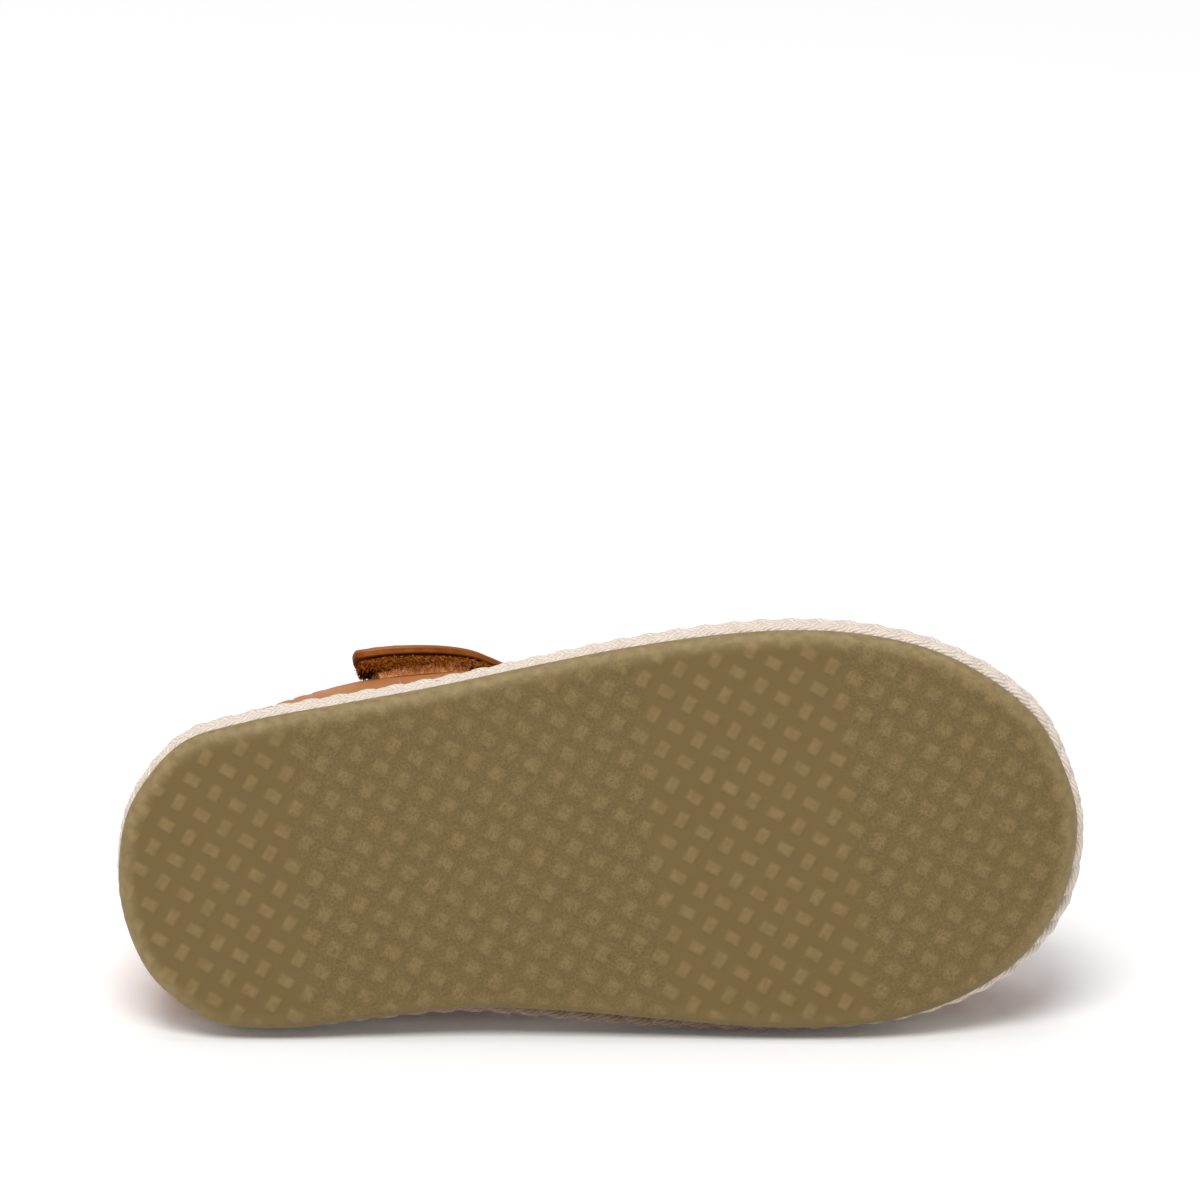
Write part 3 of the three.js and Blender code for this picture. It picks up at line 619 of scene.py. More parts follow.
def strandFrame(turn, strand, level, direction):
    path = strandPath(turn, strand, level, direction)
    ahead, behind = (strandPath(turn + step, strand, level, direction) for step in (1e-4, -1e-4))
    along = unit(ahead - behind)
    headX, headY = edgeHeading(turn)
    outward = np.column_stack([headY, -headX, np.zeros_like(headX)])
    across = unit(np.cross(along, outward))
    return path, along, np.cross(across, along), across


# Soft shapes are pressed flat where they would go under the floor.
def pressed(points):
    up = shoeAxes[:, 2]
    height = shoeOrigin[2] * perMm + points @ up
    return points + np.maximum(rope["clearance"] - height, 0)[..., None] * up


# A row of braid: three closed tubes of oval section along their middle lines. The UV counts
# yarns round the section, turning as they go, and millimetres along it.
def makeBraid(name, level, direction):
    steps = int(edgeLength / rope["step"])
    turn = np.arange(steps) / steps
    angle = 2 * np.pi * np.arange(rope["sides"]) / rope["sides"]
    points, faceSets, corners = [], [], []
    for strand in range(3):
        path, _, out, across = strandFrame(turn, strand, level, direction)
        ring = (path[:, None] + rope["radiusOut"] * np.cos(angle)[:, None] * out[:, None]
                + rope["radiusUp"] * np.sin(angle)[:, None] * across[:, None])
        faces, corner = gridFaces(steps, rope["sides"], closeRows=True, closeColumns=True)
        run = corner[..., 0] * edgeLength / steps
        turns = round(edgeLength / rope["yarnTurn"]) / edgeLength
        yarn = rope["yarns"] * (corner[..., 1] / rope["sides"] + direction * run * turns)
        faceSets.append(faces + strand * steps * rope["sides"])
        corners.append(np.stack([yarn, run / 10], axis=-1))
        points.append(ring.reshape(-1, 3))
    # painted shade on the lower row's inner side, where it lies next to the floor
    underShade = rope["underShade"] * (direction > 0) * np.exp(-(((turn - rope["underShadeAt"]) / rope["underShadeReach"]) ** 4))
    underShade = np.tile(np.repeat(underShade, rope["sides"]), 3)
    piece = makePiece(name, pressed(np.concatenate(points)), faceSets, [braidedCotton], corners=corners,
                      values=dict(underShade=underShade))
    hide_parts("rope_midsole")


# Filler between the ropes: a slab with the outline let in, closed by rungs.
def makeSlab(name, rings, material):
    count, steps = len(rings), len(rings[0])
    faces, _ = gridFaces(count, steps, closeColumns=True)
    cap, tips = rungFaces(steps)
    last = (count - 1) * steps
    points = np.concatenate(rings)
    if enclosed(points - points.mean(axis=0), [faces]) < 0:
        faces = faces[:, ::-1]
    return makePiece(name, points, [faces, cap[:, ::-1], tips[:, ::-1], cap + last, tips + last], [material])


def edgeRing(steps, outwards, z):
    turn = np.arange(steps) / steps
    x, y = edgePoint(turn, outwards(turn) if callable(outwards) else outwards)
    return np.column_stack([x, y, z + spring(x)])


# Many fine closed fibres in one mesh: each is a thin three-sided spindle along its own path.
# paths is fibres by stations by 3, widths the half width at each station.
def fibreMesh(paths, widths, sides=3):
    count, stations, _ = paths.shape
    along = unit(np.gradient(paths, axis=1))
    away = np.where(np.abs(along[..., 2:3]) < 0.8, [0.0, 0, 1], [1.0, 0, 0])
    first = unit(np.cross(along, away))
    second = np.cross(along, first)
    angle = 2 * np.pi * np.arange(sides) / sides
    rings = (paths[:, :, None] + widths[..., None, None] * (
        np.cos(angle)[:, None] * first[:, :, None] + np.sin(angle)[:, None] * second[:, :, None]))
    one, _ = gridFaces(stations, sides, closeColumns=True)
    base = (np.arange(count) * stations * sides)[:, None, None]
    faces = (one + base).reshape(-1, 4)
    capStart = np.arange(sides)[::-1] + base[:, 0]
    capEnd = np.arange(sides) + (stations - 1) * sides + base[:, 0]
    points = rings.reshape(-1, 3)
    probe = [faces[:len(one)], capStart[:1], capEnd[:1]]
    if enclosed(points - points[0], probe) < 0:
        return points, [faces[:, ::-1], capStart[:, ::-1], capEnd[:, ::-1]]
    return points, [faces, capStart, capEnd]


# Fibre from a root: straight for its length along a direction, bent by a second vector with
# the square of the share.
def fibrePaths(roots, directions, lengths, bends, stations):
    share = np.linspace(0, 1, stations)[:, None]
    return roots[:, None] + directions[:, None] * lengths[:, None, None] * share + bends[:, None] * share**2


def makeRopeHairs():
    rng = np.random.default_rng(11)
    count = rope["hairs"]
    paths = []
    for level, direction in zip(ropeLevels, (1, -1)):
        for strand in range(3):
            turn = rng.random(count // 6)
            path, along, out, across = strandFrame(turn, strand, level, direction)
            angle = rng.uniform(-1.4, 1.4, len(turn))[:, None]
            normal = np.cos(angle) * out + np.sin(angle) * across
            roots = path + normal * 0.95 * rope["radiusOut"]
            sense = rng.choice([-1, 1], len(turn))[:, None]
            lean = unit(along * sense + normal * rng.uniform(0.1, 0.5, (len(turn), 1)))
            lengths = rng.uniform(*rope["hairLength"], len(turn))
            bends = rng.normal(0, 0.28, (len(turn), 3)) * lengths[:, None]
            paths.append(fibrePaths(roots, lean, lengths, bends, 5))
    paths = pressed(np.concatenate(paths))
    taper = np.array([1, 1, 0.85, 0.6, 0.25]) * rope["hairWidth"]
    points, faceSets = fibreMesh(paths, np.broadcast_to(taper, paths.shape[:2]))
    piece = makePiece("rope_fibres", points, faceSets, [cottonFibre])


makeBraid("rope_braid_lower", ropeLevels[0], 1)
makeBraid("rope_braid_upper", ropeLevels[1], -1)
core = makeSlab("rope_filler", [edgeRing(240, -rope["coreInset"], z) for z in (ropeBottom, ropeTop)], fillerPaintedShade)
makeRopeHairs()


# Leather sheets

sheetLook = dict(rounding=0.5, bends=5, seam=1.8)  # of a cut edge, and the seam's distance from it


# Places from 0 to 1 along a length: close together over the rounded edge at both ends, in even
# steps between them.
def spread(length, step):
    rounding = sheetLook["rounding"]
    edge = rounding * (1 - np.cos(np.linspace(0, np.pi / 2, sheetLook["bends"]))) / length
    inner = length - 2 * rounding
    middle = (rounding + np.linspace(0, inner, max(3, int(np.ceil(inner / step)) + 1))) / length
    return np.concatenate([edge[:-1], middle, 1 - edge[-2::-1]])


# How far a face falls at a distance from the cut edges: a quarter round.
def edgeDrop(fromEnds, fromSides):
    rounding = sheetLook["rounding"]
    reach = np.hypot(np.clip(1 - fromEnds / rounding, 0, 1), np.clip(1 - fromSides / rounding, 0, 1))
    return rounding * (1 - np.sqrt(1 - np.minimum(reach, 1) ** 2))


def lineLength(points):
    return np.linalg.norm(np.diff(points, axis=0), axis=1).sum()


# A closed sheet of leather: surface(u, w, offset) gives its points, outer and inner give the
# offsets of its faces. The edge value is the distance from the nearest cut edge.
def sheetPart(surface, inner, outer, stepAlong, stepAcross):
    ends, half = np.linspace(0, 1, 60), np.full(60, 0.5)
    long = lineLength(surface(ends, half, 0))
    wide = lineLength(surface(half, ends, 0))
    u, w = spread(long, stepAlong), spread(wide, stepAcross)
    along, across = np.meshgrid(u, w, indexing="ij")
    fromEnds, fromSides = np.minimum(along, 1 - along) * long, np.minimum(across, 1 - across) * wide
    drop = edgeDrop(fromEnds, fromSides)
    face = surface(along, across, outer(along, across) - drop)
    back = surface(along, across, inner(along, across) + 0.6 * drop)
    points = np.concatenate([face.reshape(-1, 3), back.reshape(-1, 3)])
    grid, _ = gridFaces(len(u), len(w))
    layer = np.arange(len(u) * len(w)).reshape(len(u), len(w))
    border = np.concatenate([layer[:-1, 0], layer[-1, :-1], layer[:0:-1, -1], layer[0, :0:-1]])
    following = np.roll(border, -1)
    walls = np.column_stack([following, border, border + layer.size, following + layer.size])
    faces = [grid, grid[:, ::-1] + layer.size, walls]
    if enclosed(points - points.mean(axis=0), faces) < 0:
        faces = [face[:, ::-1] for face in faces]
    edge = np.tile(np.minimum(fromEnds, fromSides).ravel(), 2)
    return dict(points=points, faces=faces, edge=edge)


# Sheets joined in one piece, with the outer, inner and cut faces each in their own material.
def makeSheets(name, parts, materials):
    faceSets, materialOf, start = [], [], 0
    for part in parts:
        for mark, faces in enumerate(part["faces"]):
            faceSets.append(faces + start)
            materialOf.append(np.full(len(faces), mark))
        start += len(part["points"])
    points = np.concatenate([part["points"] for part in parts])
    edge = np.concatenate([part["edge"] for part in parts])
    return makePiece(name, points, faceSets, materials, materialOf=materialOf, values=dict(edge=edge))


# Soft creases: each is a trough along a line on the last, with a low ridge on both sides. A row
# holds way, rise and side of both ends, the half width and the depth.
def creaseDepth(points, creases):
    total = np.zeros(points.shape[:-1])
    for way0, rise0, way1, rise1, side, width, depth in creases:
        start, end = lastPoint(way0, rise0, 1, side), lastPoint(way1, rise1, 1, side)
        span = end - start
        share = ((points - start) @ span) / (span @ span)
        away = np.linalg.norm(points - start - np.clip(share, 0, 1)[..., None] * span, axis=-1) / width
        fade = smoothstep(share, -0.3, 0.25) * (1 - smoothstep(share, 0.75, 1.3))
        total += depth * fade * (-np.exp(-away**2) + 0.45 * np.exp(-((away - 2.2) ** 2)))
    return total


# Stitches

thread = dict(length=2.5, gap=0.75, width=0.21, lift=(-0.24, 0.0, 0.04, 0.0, -0.24), sides=6)
seams = []  # paths of single stitches


# A seam: stitches at even steps on a line, each a short thread that dips into the leather at
# both ends.
def addSeam(surface, u, w, offset, start=0.0):
    points = surface(u, w, offset)
    normals = unit(surface(u, w, offset + 0.5) - points)
    run = np.concatenate([[0], np.cumsum(np.linalg.norm(np.diff(points, axis=0), axis=1))])
    pitch = thread["length"] + thread["gap"]
    count = int((run[-1] - start - thread["gap"]) / pitch)
    if count < 1:
        return
    first = start + (run[-1] - start - count * pitch + thread["gap"]) / 2
    at = first + np.arange(count)[:, None] * pitch + thread["length"] * np.array([0, 0.12, 0.5, 0.88, 1])
    place = np.stack([np.interp(at, run, points[:, k]) for k in range(3)], axis=-1)
    out = unit(np.stack([np.interp(at, run, normals[:, k]) for k in range(3)], axis=-1))
    seams.append(place + out * np.array(thread["lift"])[:, None])


# Upper

tanLook = dict(light="C8854D", dark="B2733C", cut="8A4A1C", cloudMm=11.0, grainMm=0.75, poreMm=0.3)


# Grain leather, vegetable tanned and waxed: warm tan, clouded, with a fine pebbled grain that
# gives a broken satin gloss, darker near the cut edges and along the seam's trough.
def buildTanLeather(tree):
    look = tanLook
    where = addNode(tree, "TexCoord").outputs["Object"]
    edge = readValue(tree, "edge")
    cloud = addNoise(tree, where, look["cloudMm"], 5, Roughness=0.6)
    pores = addNoise(tree, where, look["poreMm"], 3)
    cells = addNode(tree, "TexVoronoi", dict(feature="F1"),
                    {"Vector": where, "Scale": perMm / look["grainMm"], "Randomness": 1.0})
    dyed = addMix(tree, addRange(tree, cloud, 0.35, 0.65), look["light"], look["dark"])
    pored = addMix(tree, addRange(tree, pores, 0.62, 0.4, 0.0, 0.22), dyed, look["cut"])
    edged = addMix(tree, addRange(tree, edge, 1.2, 0.1, 0.0, 0.7), pored, look["cut"])
    fromSeam = addMath(tree, "ABSOLUTE", addMath(tree, "SUBTRACT", edge, sheetLook["seam"]))
    trough = addNode(tree, "MapRange", dict(interpolation_type="SMOOTHSTEP"),
                     {"Value": fromSeam, "From Max": 0.6, "To Min": -1.0, "To Max": 0.0})
    relief = addMath(tree, "MULTIPLY_ADD", pores, 0.4, cells.outputs["Distance"])
    grain = addBump(tree, 0.35, 0.12, relief)
    return {"Base Color": edged, "Normal": addBump(tree, 0.6, 0.2, trough.outputs[0], Normal=grain),
            "Roughness": addRange(tree, pores, 0.0, 1.0, 0.62, 0.42)}


# Leather with one look all over: a clouded colour and a nap or fibre at its own scale.
def plainLook(light, dark, cloudMm, fibreMm, depth):
    def build(tree):
        where = addNode(tree, "TexCoord").outputs["Object"]
        cloud, fibre = addNoise(tree, where, cloudMm, 5), addNoise(tree, where, fibreMm, 3)
        both = addMath(tree, "MULTIPLY_ADD", fibre, 0.5, cloud)
        return {"Base Color": addMix(tree, addRange(tree, both, 0.55, 0.95), light, dark),
                "Normal": addBump(tree, 0.5, depth, fibre)}
    return build


tanLeather = makeMaterial("waxedGrainLeather", {"Specular IOR Level": 0.4}, buildTanLeather)
# Split leather lining: pale and napped, with no gloss.
liningLeather = makeMaterial("napLining", {"Roughness": 0.9, "Specular IOR Level": 0.15, "Sheen Weight": 0.3},
                             plainLook("CDA682", "B88E68", 8.0, 0.35, 0.1))
# Cut edge, stained and rubbed: darker than the face, with the fibres closed to a dull gloss.
cutLeather = makeMaterial("burnishedEdge", {"Roughness": 0.6, "Specular IOR Level": 0.3},
                          plainLook("96562A", "77400F", 3.0, 0.2, 0.06))
# Polyester sewing thread, waxed: a shade lighter than the leather, with a short bright gloss.
sewingThread = makeMaterial("waxedThread", {"Roughness": 0.45, "Specular IOR Level": 0.4},
                            plainLook("C98F5E", "B1743F", 2.0, 0.15, 0.03))
# Strap edge, dyed and burnished a deep brown, and the strap's own dark lining.
strapEdge = makeMaterial("dyedStrapEdge", {"Roughness": 0.65, "Specular IOR Level": 0.15},
                         plainLook("9C5618", "703A0B", 2.5, 0.2, 0.06))
strapLining = makeMaterial("brownStrapLining", {"Roughness": 0.85, "Specular IOR Level": 0.1},
                           plainLook("7A4216", "5C2E0C", 4.0, 0.3, 0.06))
upperMaterials = [tanLeather, liningLeather, cutLeather]
strapMaterials = [tanLeather, strapLining, strapEdge]
print("materials of the upper made")

upper = dict(
    frontAtSole=0.44, frontAtTop=0.385,  # of the quarter: shares of the way from heel to toe
    quarterLong=160, quarterHigh=44,  # in mm, roughly, to set its seams
    strips=5, rootFirst=0.525, rootStep=0.094, rootWidth=0.052,
    tipFirst=0.545, tipStep=0.078, tipWidth=0.064, tipRise=0.97, crownBulge=0.3,
    centreWidth=13.0, centreInner=1.4, centreOuter=2.65,
    fullness=[(0, 0), (0.08, -0.7), (0.18, -1.1), (0.24, -0.1), (0.29, 0.7), (0.35, 0.7), (0.44, 0)],
    # way, rise of both ends, side, half width, depth
    creases=[
        (0.13, 0.30, 0.22, 0.42, 1, 1.6, 0.45), (0.15, 0.44, 0.23, 0.55, 1, 1.3, 0.3),
        (0.12, 0.28, 0.22, 0.38, -1, 1.6, 0.4), (0.17, 0.46, 0.25, 0.52, -1, 1.3, 0.3),
        (0.33, 0.2, 0.4, 0.26, 1, 1.5, 0.25),
    ],
)


def flat(value):
    return lambda u, w: np.full(np.broadcast(u, w).shape, float(value))


# Fullness of the outer quarter: drawn in behind the ankle and bulged under the tab.
def quarterFullness(way, w, side):
    return np.where(side > 0, readTable(upper["fullness"], 1, way) * smoothstep(w, 0.1, 0.65), 0.0)


# The quarter: u runs round the heel from one front edge to the other, w from the sole to the
# top line.
def quarterSurface(u, w, offset):
    across = 2 * u - 1
    side = np.where(across < 0, -1.0, 1.0)
    way = np.abs(across) * mix(upper["frontAtSole"], upper["frontAtTop"], w)
    top = riseAtHeight(way, side, readTable(topLine, 1, way))
    base = lastPoint(way, w * top, 1, side)
    full = offset + quarterFullness(way, w, side)
    return lastPoint(way, w * top, full + creaseDepth(base, upper["creases"]), side)


# A side strip: u runs from the sole to the crown, w across it.
def stripSurface(index, side):
    root = upper["rootFirst"] + index * upper["rootStep"]
    tip = upper["tipFirst"] + index * upper["tipStep"]

    def surface(u, w, offset):
        start = mix(root - upper["rootWidth"] / 2, tip - upper["tipWidth"] / 2, u)
        end = mix(root + upper["rootWidth"] / 2, tip + upper["tipWidth"] / 2, u)
        bulge = upper["crownBulge"] * (1 - (2 * w - 1) ** 2)
        return lastPoint(mix(start, end, w), upper["tipRise"] * u, offset + bulge, side)
    return surface


# Rise at a sideways distance from the crown's middle line, from the superellipse turned round.
def riseBeside(way, sideways, side):
    turn = (1 + side * way / 2) % 1
    _, footY = edgePoint(turn, lastInset(turn) + shoe["leather"])
    reach = np.abs(footY - readTable(crown, 2, way) * shoe["ballWidth"])
    share = np.clip(np.abs(sideways) / np.maximum(reach, 1e-6), 1e-6, 1)
    power = readTable(crown, 3, way)
    return np.arctan(np.maximum(share**-power - 1, 0) ** (1 / power)) * 2 / np.pi


# The way at which a line beside the crown's middle line reaches an x, at an offset from the last:
# by Newton steps of one fixed slope.
def wayAtX(x, sideways, side, offset=1.5):
    slope = 130.0
    way = (x / shoe["length"] - shoe["crownStart"]) / (shoe["crownEnd"] - shoe["crownStart"])
    for _ in range(10):
        way = way + (x - lastPoint(way, riseBeside(way, sideways, side), offset, side)[..., 0]) / slope
    return way


# The way at which the foot of the last is a sideways distance from the crown's middle line,
# close to the toe, by halving.
def wayToToe(sideways, side):
    low, high = 0.8, 1.0
    for _ in range(30):
        middle = (low + high) / 2
        _, footY = edgePoint((1 + side * middle / 2) % 1, lastInset(0.5) + shoe["leather"])
        reach = abs(footY - readTable(crown, 2, middle) * shoe["ballWidth"])
        low, high = (middle, high) if reach > sideways else (low, middle)
    return low


# The centre strip: u runs from the instep over the crown and down to the toe, w across it. Each
# line along it keeps its distance from the middle line, and is divided by its length.
def centreSurface(firstX):
    # two lines just outside the middle would end before the foot of the toe: they are left out
    columns = np.delete(np.linspace(-0.5, 0.5, 14), (5, 6)) * upper["centreWidth"]
    stations = np.linspace(0, 1, 120)
    ways, rises = [], []
    for sideways in columns:
        side = 1.0 if sideways < 0 else -1.0
        firstWay = wayAtX(firstX, sideways, side)
        fine = firstWay + (wayToToe(abs(sideways), side) - firstWay) * (1 - (1 - np.linspace(0, 1, 700)) ** 3)
        rise = riseBeside(fine, sideways, side)
        points = lastPoint(fine, rise, 1.5, side)
        run = np.concatenate([[0], np.cumsum(np.linalg.norm(np.diff(points, axis=0), axis=1))])
        ways.append(np.interp(stations * run[-1], run, fine))
        rises.append(np.interp(stations * run[-1], run, rise))
    ways, rises = np.array(ways), np.array(rises)

    def surface(u, w, offset):
        # the last is read at the columns on both sides and the points are mixed
        u, w, offset = np.broadcast_arrays(u, w, offset)
        place = np.interp(w, columns / upper["centreWidth"] + 0.5, np.arange(len(columns)))
        column = np.clip(np.floor(place).astype(int), 0, len(columns) - 2)
        share = (place - column)[..., None]
        row = np.clip(u, 0, 1) * (len(stations) - 1)
        before = np.clip(np.floor(row).astype(int), 0, len(stations) - 2)
        part = row - before

        def column3d(k):
            way = mix(ways[k, before], ways[k, before + 1], part)
            rise = mix(rises[k, before], rises[k, before + 1], part)
            return lastPoint(way, rise, offset, np.where(columns[k] < 0, 1.0, -1.0))
        return mix(column3d(column), column3d(column + 1), share)
    return surface


def makeUpper():
    quarter = sheetPart(quarterSurface, flat(0), flat(shoe["leather"]), 1.2, 1.4)
    piece = makeSheets("quarter_leather", [quarter], upperMaterials)
    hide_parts("upper")
    line = np.linspace(0, 1, 400)
    inset = sheetLook["seam"]
    for extra in (0, 2.2):  # two rows under the top line
        w = np.full(500, 1 - (inset + extra) / upper["quarterHigh"])
        addSeam(quarterSurface, np.linspace(0.012, 0.988, 500), w, shoe["leather"])
    for u in (inset / upper["quarterLong"], 1 - inset / upper["quarterLong"]):
        addSeam(quarterSurface, np.full(400, u), mix(0.05, 0.955, line), shoe["leather"])

    parts = []
    for index in range(upper["strips"]):
        for side in (1.0, -1.0):
            surface = stripSurface(index, side)
            parts.append(sheetPart(surface, flat(0), flat(shoe["leather"]), 1.3, 0.8))
            for w in (0.2, 0.8):
                addSeam(surface, mix(0.06, 0.86, line), np.full(400, w), shoe["leather"])
    piece = makeSheets("side_strips", parts, upperMaterials)
    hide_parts("upper")

    loopFront = strapCentreX + strap["width"] / 2 + shoe["gap"] + strap["loopEnd"]
    surface = centreSurface(loopFront - 1)
    centre = sheetPart(surface, flat(upper["centreInner"]), flat(upper["centreOuter"]), 1.0, 0.8)
    piece = makeSheets("centre_strip", [centre], upperMaterials)
    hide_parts("upper")
    for w in (inset / upper["centreWidth"], 1 - inset / upper["centreWidth"]):
        addSeam(surface, mix(0.08, 0.97, line), np.full(400, w), upper["centreOuter"])


# Ankle strap

strap = dict(
    width=15.0, thickness=1.5, loopLeather=1.3, loopEnd=2.5, tape=0.7, pile=1.0, tapeWidth=11.0,
    flare=1.6, slant=0.03, tab=0.16, pileEnd=0.24, tabRound=0.045, tabStraight=0.7,
    # way and rise from the tab's free end over the instep to the inner quarter
    route=[
        (0.292, 0.34), (0.34, 0.38), (0.377, 0.47), (0.402, 0.62), (0.413, 0.8), (0.416, 1),
        (0.413, 1.2), (0.402, 1.38), (0.377, 1.53), (0.34, 1.62), (0.3, 1.66),
    ],
    ripples=[(0.235, 0.012, 0.3), (0.275, 0.012, 0.22), (0.7, 0.014, 0.2)],  # share, half width, depth
)
strapCentreX = mix(shoe["crownStart"], shoe["crownEnd"], strap["route"][5][0]) * shoe["length"]
overTapes = shoe["leather"] + 3 * shoe["gap"] + strap["tape"] + strap["pile"]
throughLoop = strap["loopLeather"] + shoe["gap"]
overQuarter = shoe["leather"] + shoe["gap"]


def strapOffset(u):
    toLoop = smoothstep(u, strap["tab"], 2.1 * strap["tab"])
    toSeam = smoothstep(u, 1 - 2.1 * strap["tab"], 1 - strap["tab"])
    ripple = sum(depth * np.exp(-(((u - at) / width) ** 2)) for at, width, depth in strap["ripples"])
    return mix(mix(overTapes, throughLoop, toLoop), overQuarter, toSeam) + ripple


# The tab's lower edge stands off the quarter, less towards the loop.
def flareAt(u, w):
    return strap["flare"] * (1 - smoothstep(u, 0.3 * strap["tab"], 1.5 * strap["tab"])) * (1 - w) ** 1.5


# Point beside the strap's route: a step square to it, put into way and rise by the slopes of
# the last's surface.
def besideRoute(u, across, offset):
    u, across, offset = np.broadcast_arrays(u, across, offset)
    knots = np.array(strap["route"])
    centre = catmullRom(knots, u)
    heading = unit(catmullRom(knots, u + 1e-4) - catmullRom(knots, u - 1e-4))
    way, rise = centre[..., 0], centre[..., 1]
    step, leather = 1e-3, shoe["leather"]
    byWay = (lastPoint(way + step, rise, leather) - lastPoint(way - step, rise, leather)) / (2 * step)
    byRise = (lastPoint(way, rise + step, leather) - lastPoint(way, rise - step, leather)) / (2 * step)
    along = unit(byWay * heading[..., :1] + byRise * heading[..., 1:])
    sideways = np.cross(unit(np.cross(byWay, byRise)), along) * across[..., None]
    a, b, c = ((p * q).sum(-1) for p, q in ((byWay, byWay), (byWay, byRise), (byRise, byRise)))
    p, q = (byWay * sideways).sum(-1), (byRise * sideways).sum(-1)
    area = a * c - b * b
    return lastPoint(way + (c * p - b * q) / area, rise + (a * q - b * p) / area, offset)


# The strap: u along its route, w from its lower edge to its upper one, with rounded corners at
# the tab's end.
def strapWidth(u):
    fromEnd = np.clip(u / strap["tabRound"], 0, 1)
    return strap["width"] * mix(strap["tabStraight"], 1, np.sqrt(1 - (1 - fromEnd) ** 2))


# The tab's end is cut aslant: the share along the route is moved with the share across.
def tabSlant(u, w):
    return u + strap["slant"] * (w - 0.5) * (1 - smoothstep(u, 0, strap["tab"]))


def strapSurface(u, w, offset):
    return besideRoute(tabSlant(u, w), (w - 0.5) * strapWidth(u), offset)


def strapInner(u, w):
    return strapOffset(u) + flareAt(u, w)


def makeStrap():
    part = sheetPart(strapSurface, strapInner, lambda u, w: strapInner(u, w) + strap["thickness"], 0.6, 0.9)
    piece = makeSheets("ankle_strap_leather", [part], strapMaterials)
    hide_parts("ankle_strap")
    inset = sheetLook["seam"] / strap["width"]
    u = np.linspace(0.016, 0.985, 600)
    for w in (inset, 1 - inset):
        addSeam(strapSurface, u, np.full(600, w), strapInner(u, w) + strap["thickness"])
    w = np.linspace(inset + 0.06, 1 - inset - 0.06, 80)
    for u in (0.016, 0.985):  # across both ends
        addSeam(strapSurface, np.full(80, u), w, strapInner(u, w) + strap["thickness"])


# The loop: one strip of leather folded round the ankle strap and sewn down on the centre strip.
# Its route is in the plane of the crown: x from the strap's middle, and offset from the last.
loop = dict(
    route=[
        (15.2, 3.3), (12.6, 3.3), (9.8, 3.45), (7.4, 4.0), (3.5, 4.12), (0, 4.12), (-4.5, 4.12), (-8.8, 4.0),
        (-10.8, 3.45), (-11.45, 2.4), (-10.8, 1.3), (-9.0, 0.88), (0, 0.86), (6, 0.86), (9.6, 0.86),
    ],
    half=0.55, halfUnder=0.42, underFrom=0.62,
)


def loopSurface(u, w, offset):
    u, w, offset = np.broadcast_arrays(u, w, offset)
    route = np.array(loop["route"])
    centre = catmullRom(route, u)
    heading = unit(catmullRom(route, np.minimum(u + 1e-3, 1)) - catmullRom(route, np.maximum(u - 1e-3, 0)))
    x = strapCentreX + centre[..., 0] + heading[..., 1] * offset
    away = centre[..., 1] - heading[..., 0] * offset
    sideways = (w - 0.5) * upper["centreWidth"]
    side = np.where(sideways < 0, 1.0, -1.0)
    way = wayAtX(x, sideways, side, away)
    return lastPoint(way, riseBeside(way, sideways, side), away, side)


def makeLoop():
    def half(u, w):
        return mix(loop["half"], loop["halfUnder"], smoothstep(u, loop["underFrom"] - 0.1, loop["underFrom"]))
    part = sheetPart(loopSurface, lambda u, w: -half(u, w), half, 0.8, 1.0)
    piece = makeSheets("strap_loop", [part], upperMaterials)
    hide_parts("upper")
    w = np.linspace(0.1, 0.9, 80)
    for u in (0.045, 0.13):
        addSeam(loopSurface, np.full(80, u), w, half(u, w) - 0.05)


# The margin of the upper, turned in under the insole: a flat section with eased corners,
# carried round the sole's edge.
def makeMargin():
    high, ease = shoe["marginThickness"], 0.25
    out = shoe["leather"] - shoe["marginSetback"]
    section = [
        (out - ease, 0), (out, ease), (out, high - ease), (out - ease, high),
        (-shoe["marginWidth"] + ease, high), (-shoe["marginWidth"], high - ease),
        (-shoe["marginWidth"], ease), (-shoe["marginWidth"] + ease, 0),
    ]
    steps = 360
    rings = [edgeRing(steps, lambda turn, away=away: lastInset(turn) + away, marginBottom + z)
             for away, z in section]
    faces, _ = gridFaces(len(section), steps, closeRows=True, closeColumns=True)
    points = np.concatenate(rings)
    edge = np.full(len(points), 0.4)
    piece = makePiece("upper_margin", points, [faces], [cutLeather], values=dict(edge=edge))
    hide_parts("upper")


makeUpper()
makeStrap()
makeLoop()
makeMargin()


# Insole

insole = dict(
    steps=320, across=28, seam=3.4,
    # hollows: depth, place along the foot and reach
    cup=1.0, cupAt=26.0, cupReach=24.0, ball=0.45, ballAt=100.0, ballReach=26.0,
)
# Insole leather, smooth and undyed: pale tan with a soft skin-like sheen.
insoleLeather = makeMaterial("insoleLeather", {"Roughness": 0.55, "Specular IOR Level": 0.3, "Sheen Weight": 0.1},
                             plainLook("C69361", "B07C4B", 14.0, 0.5, 0.05))


# Hollow of the insole: a shallow cup under the heel and a shallower one under the ball.
def insoleHollow(x, share):
    cup = insole["cup"] * np.exp(-(((x - insole["cupAt"]) / insole["cupReach"]) ** 2))
    ball = insole["ball"] * np.exp(-(((x - insole["ballAt"]) / insole["ballReach"]) ** 2))
    return (cup + ball) * np.sin(np.pi * share) ** 1.2


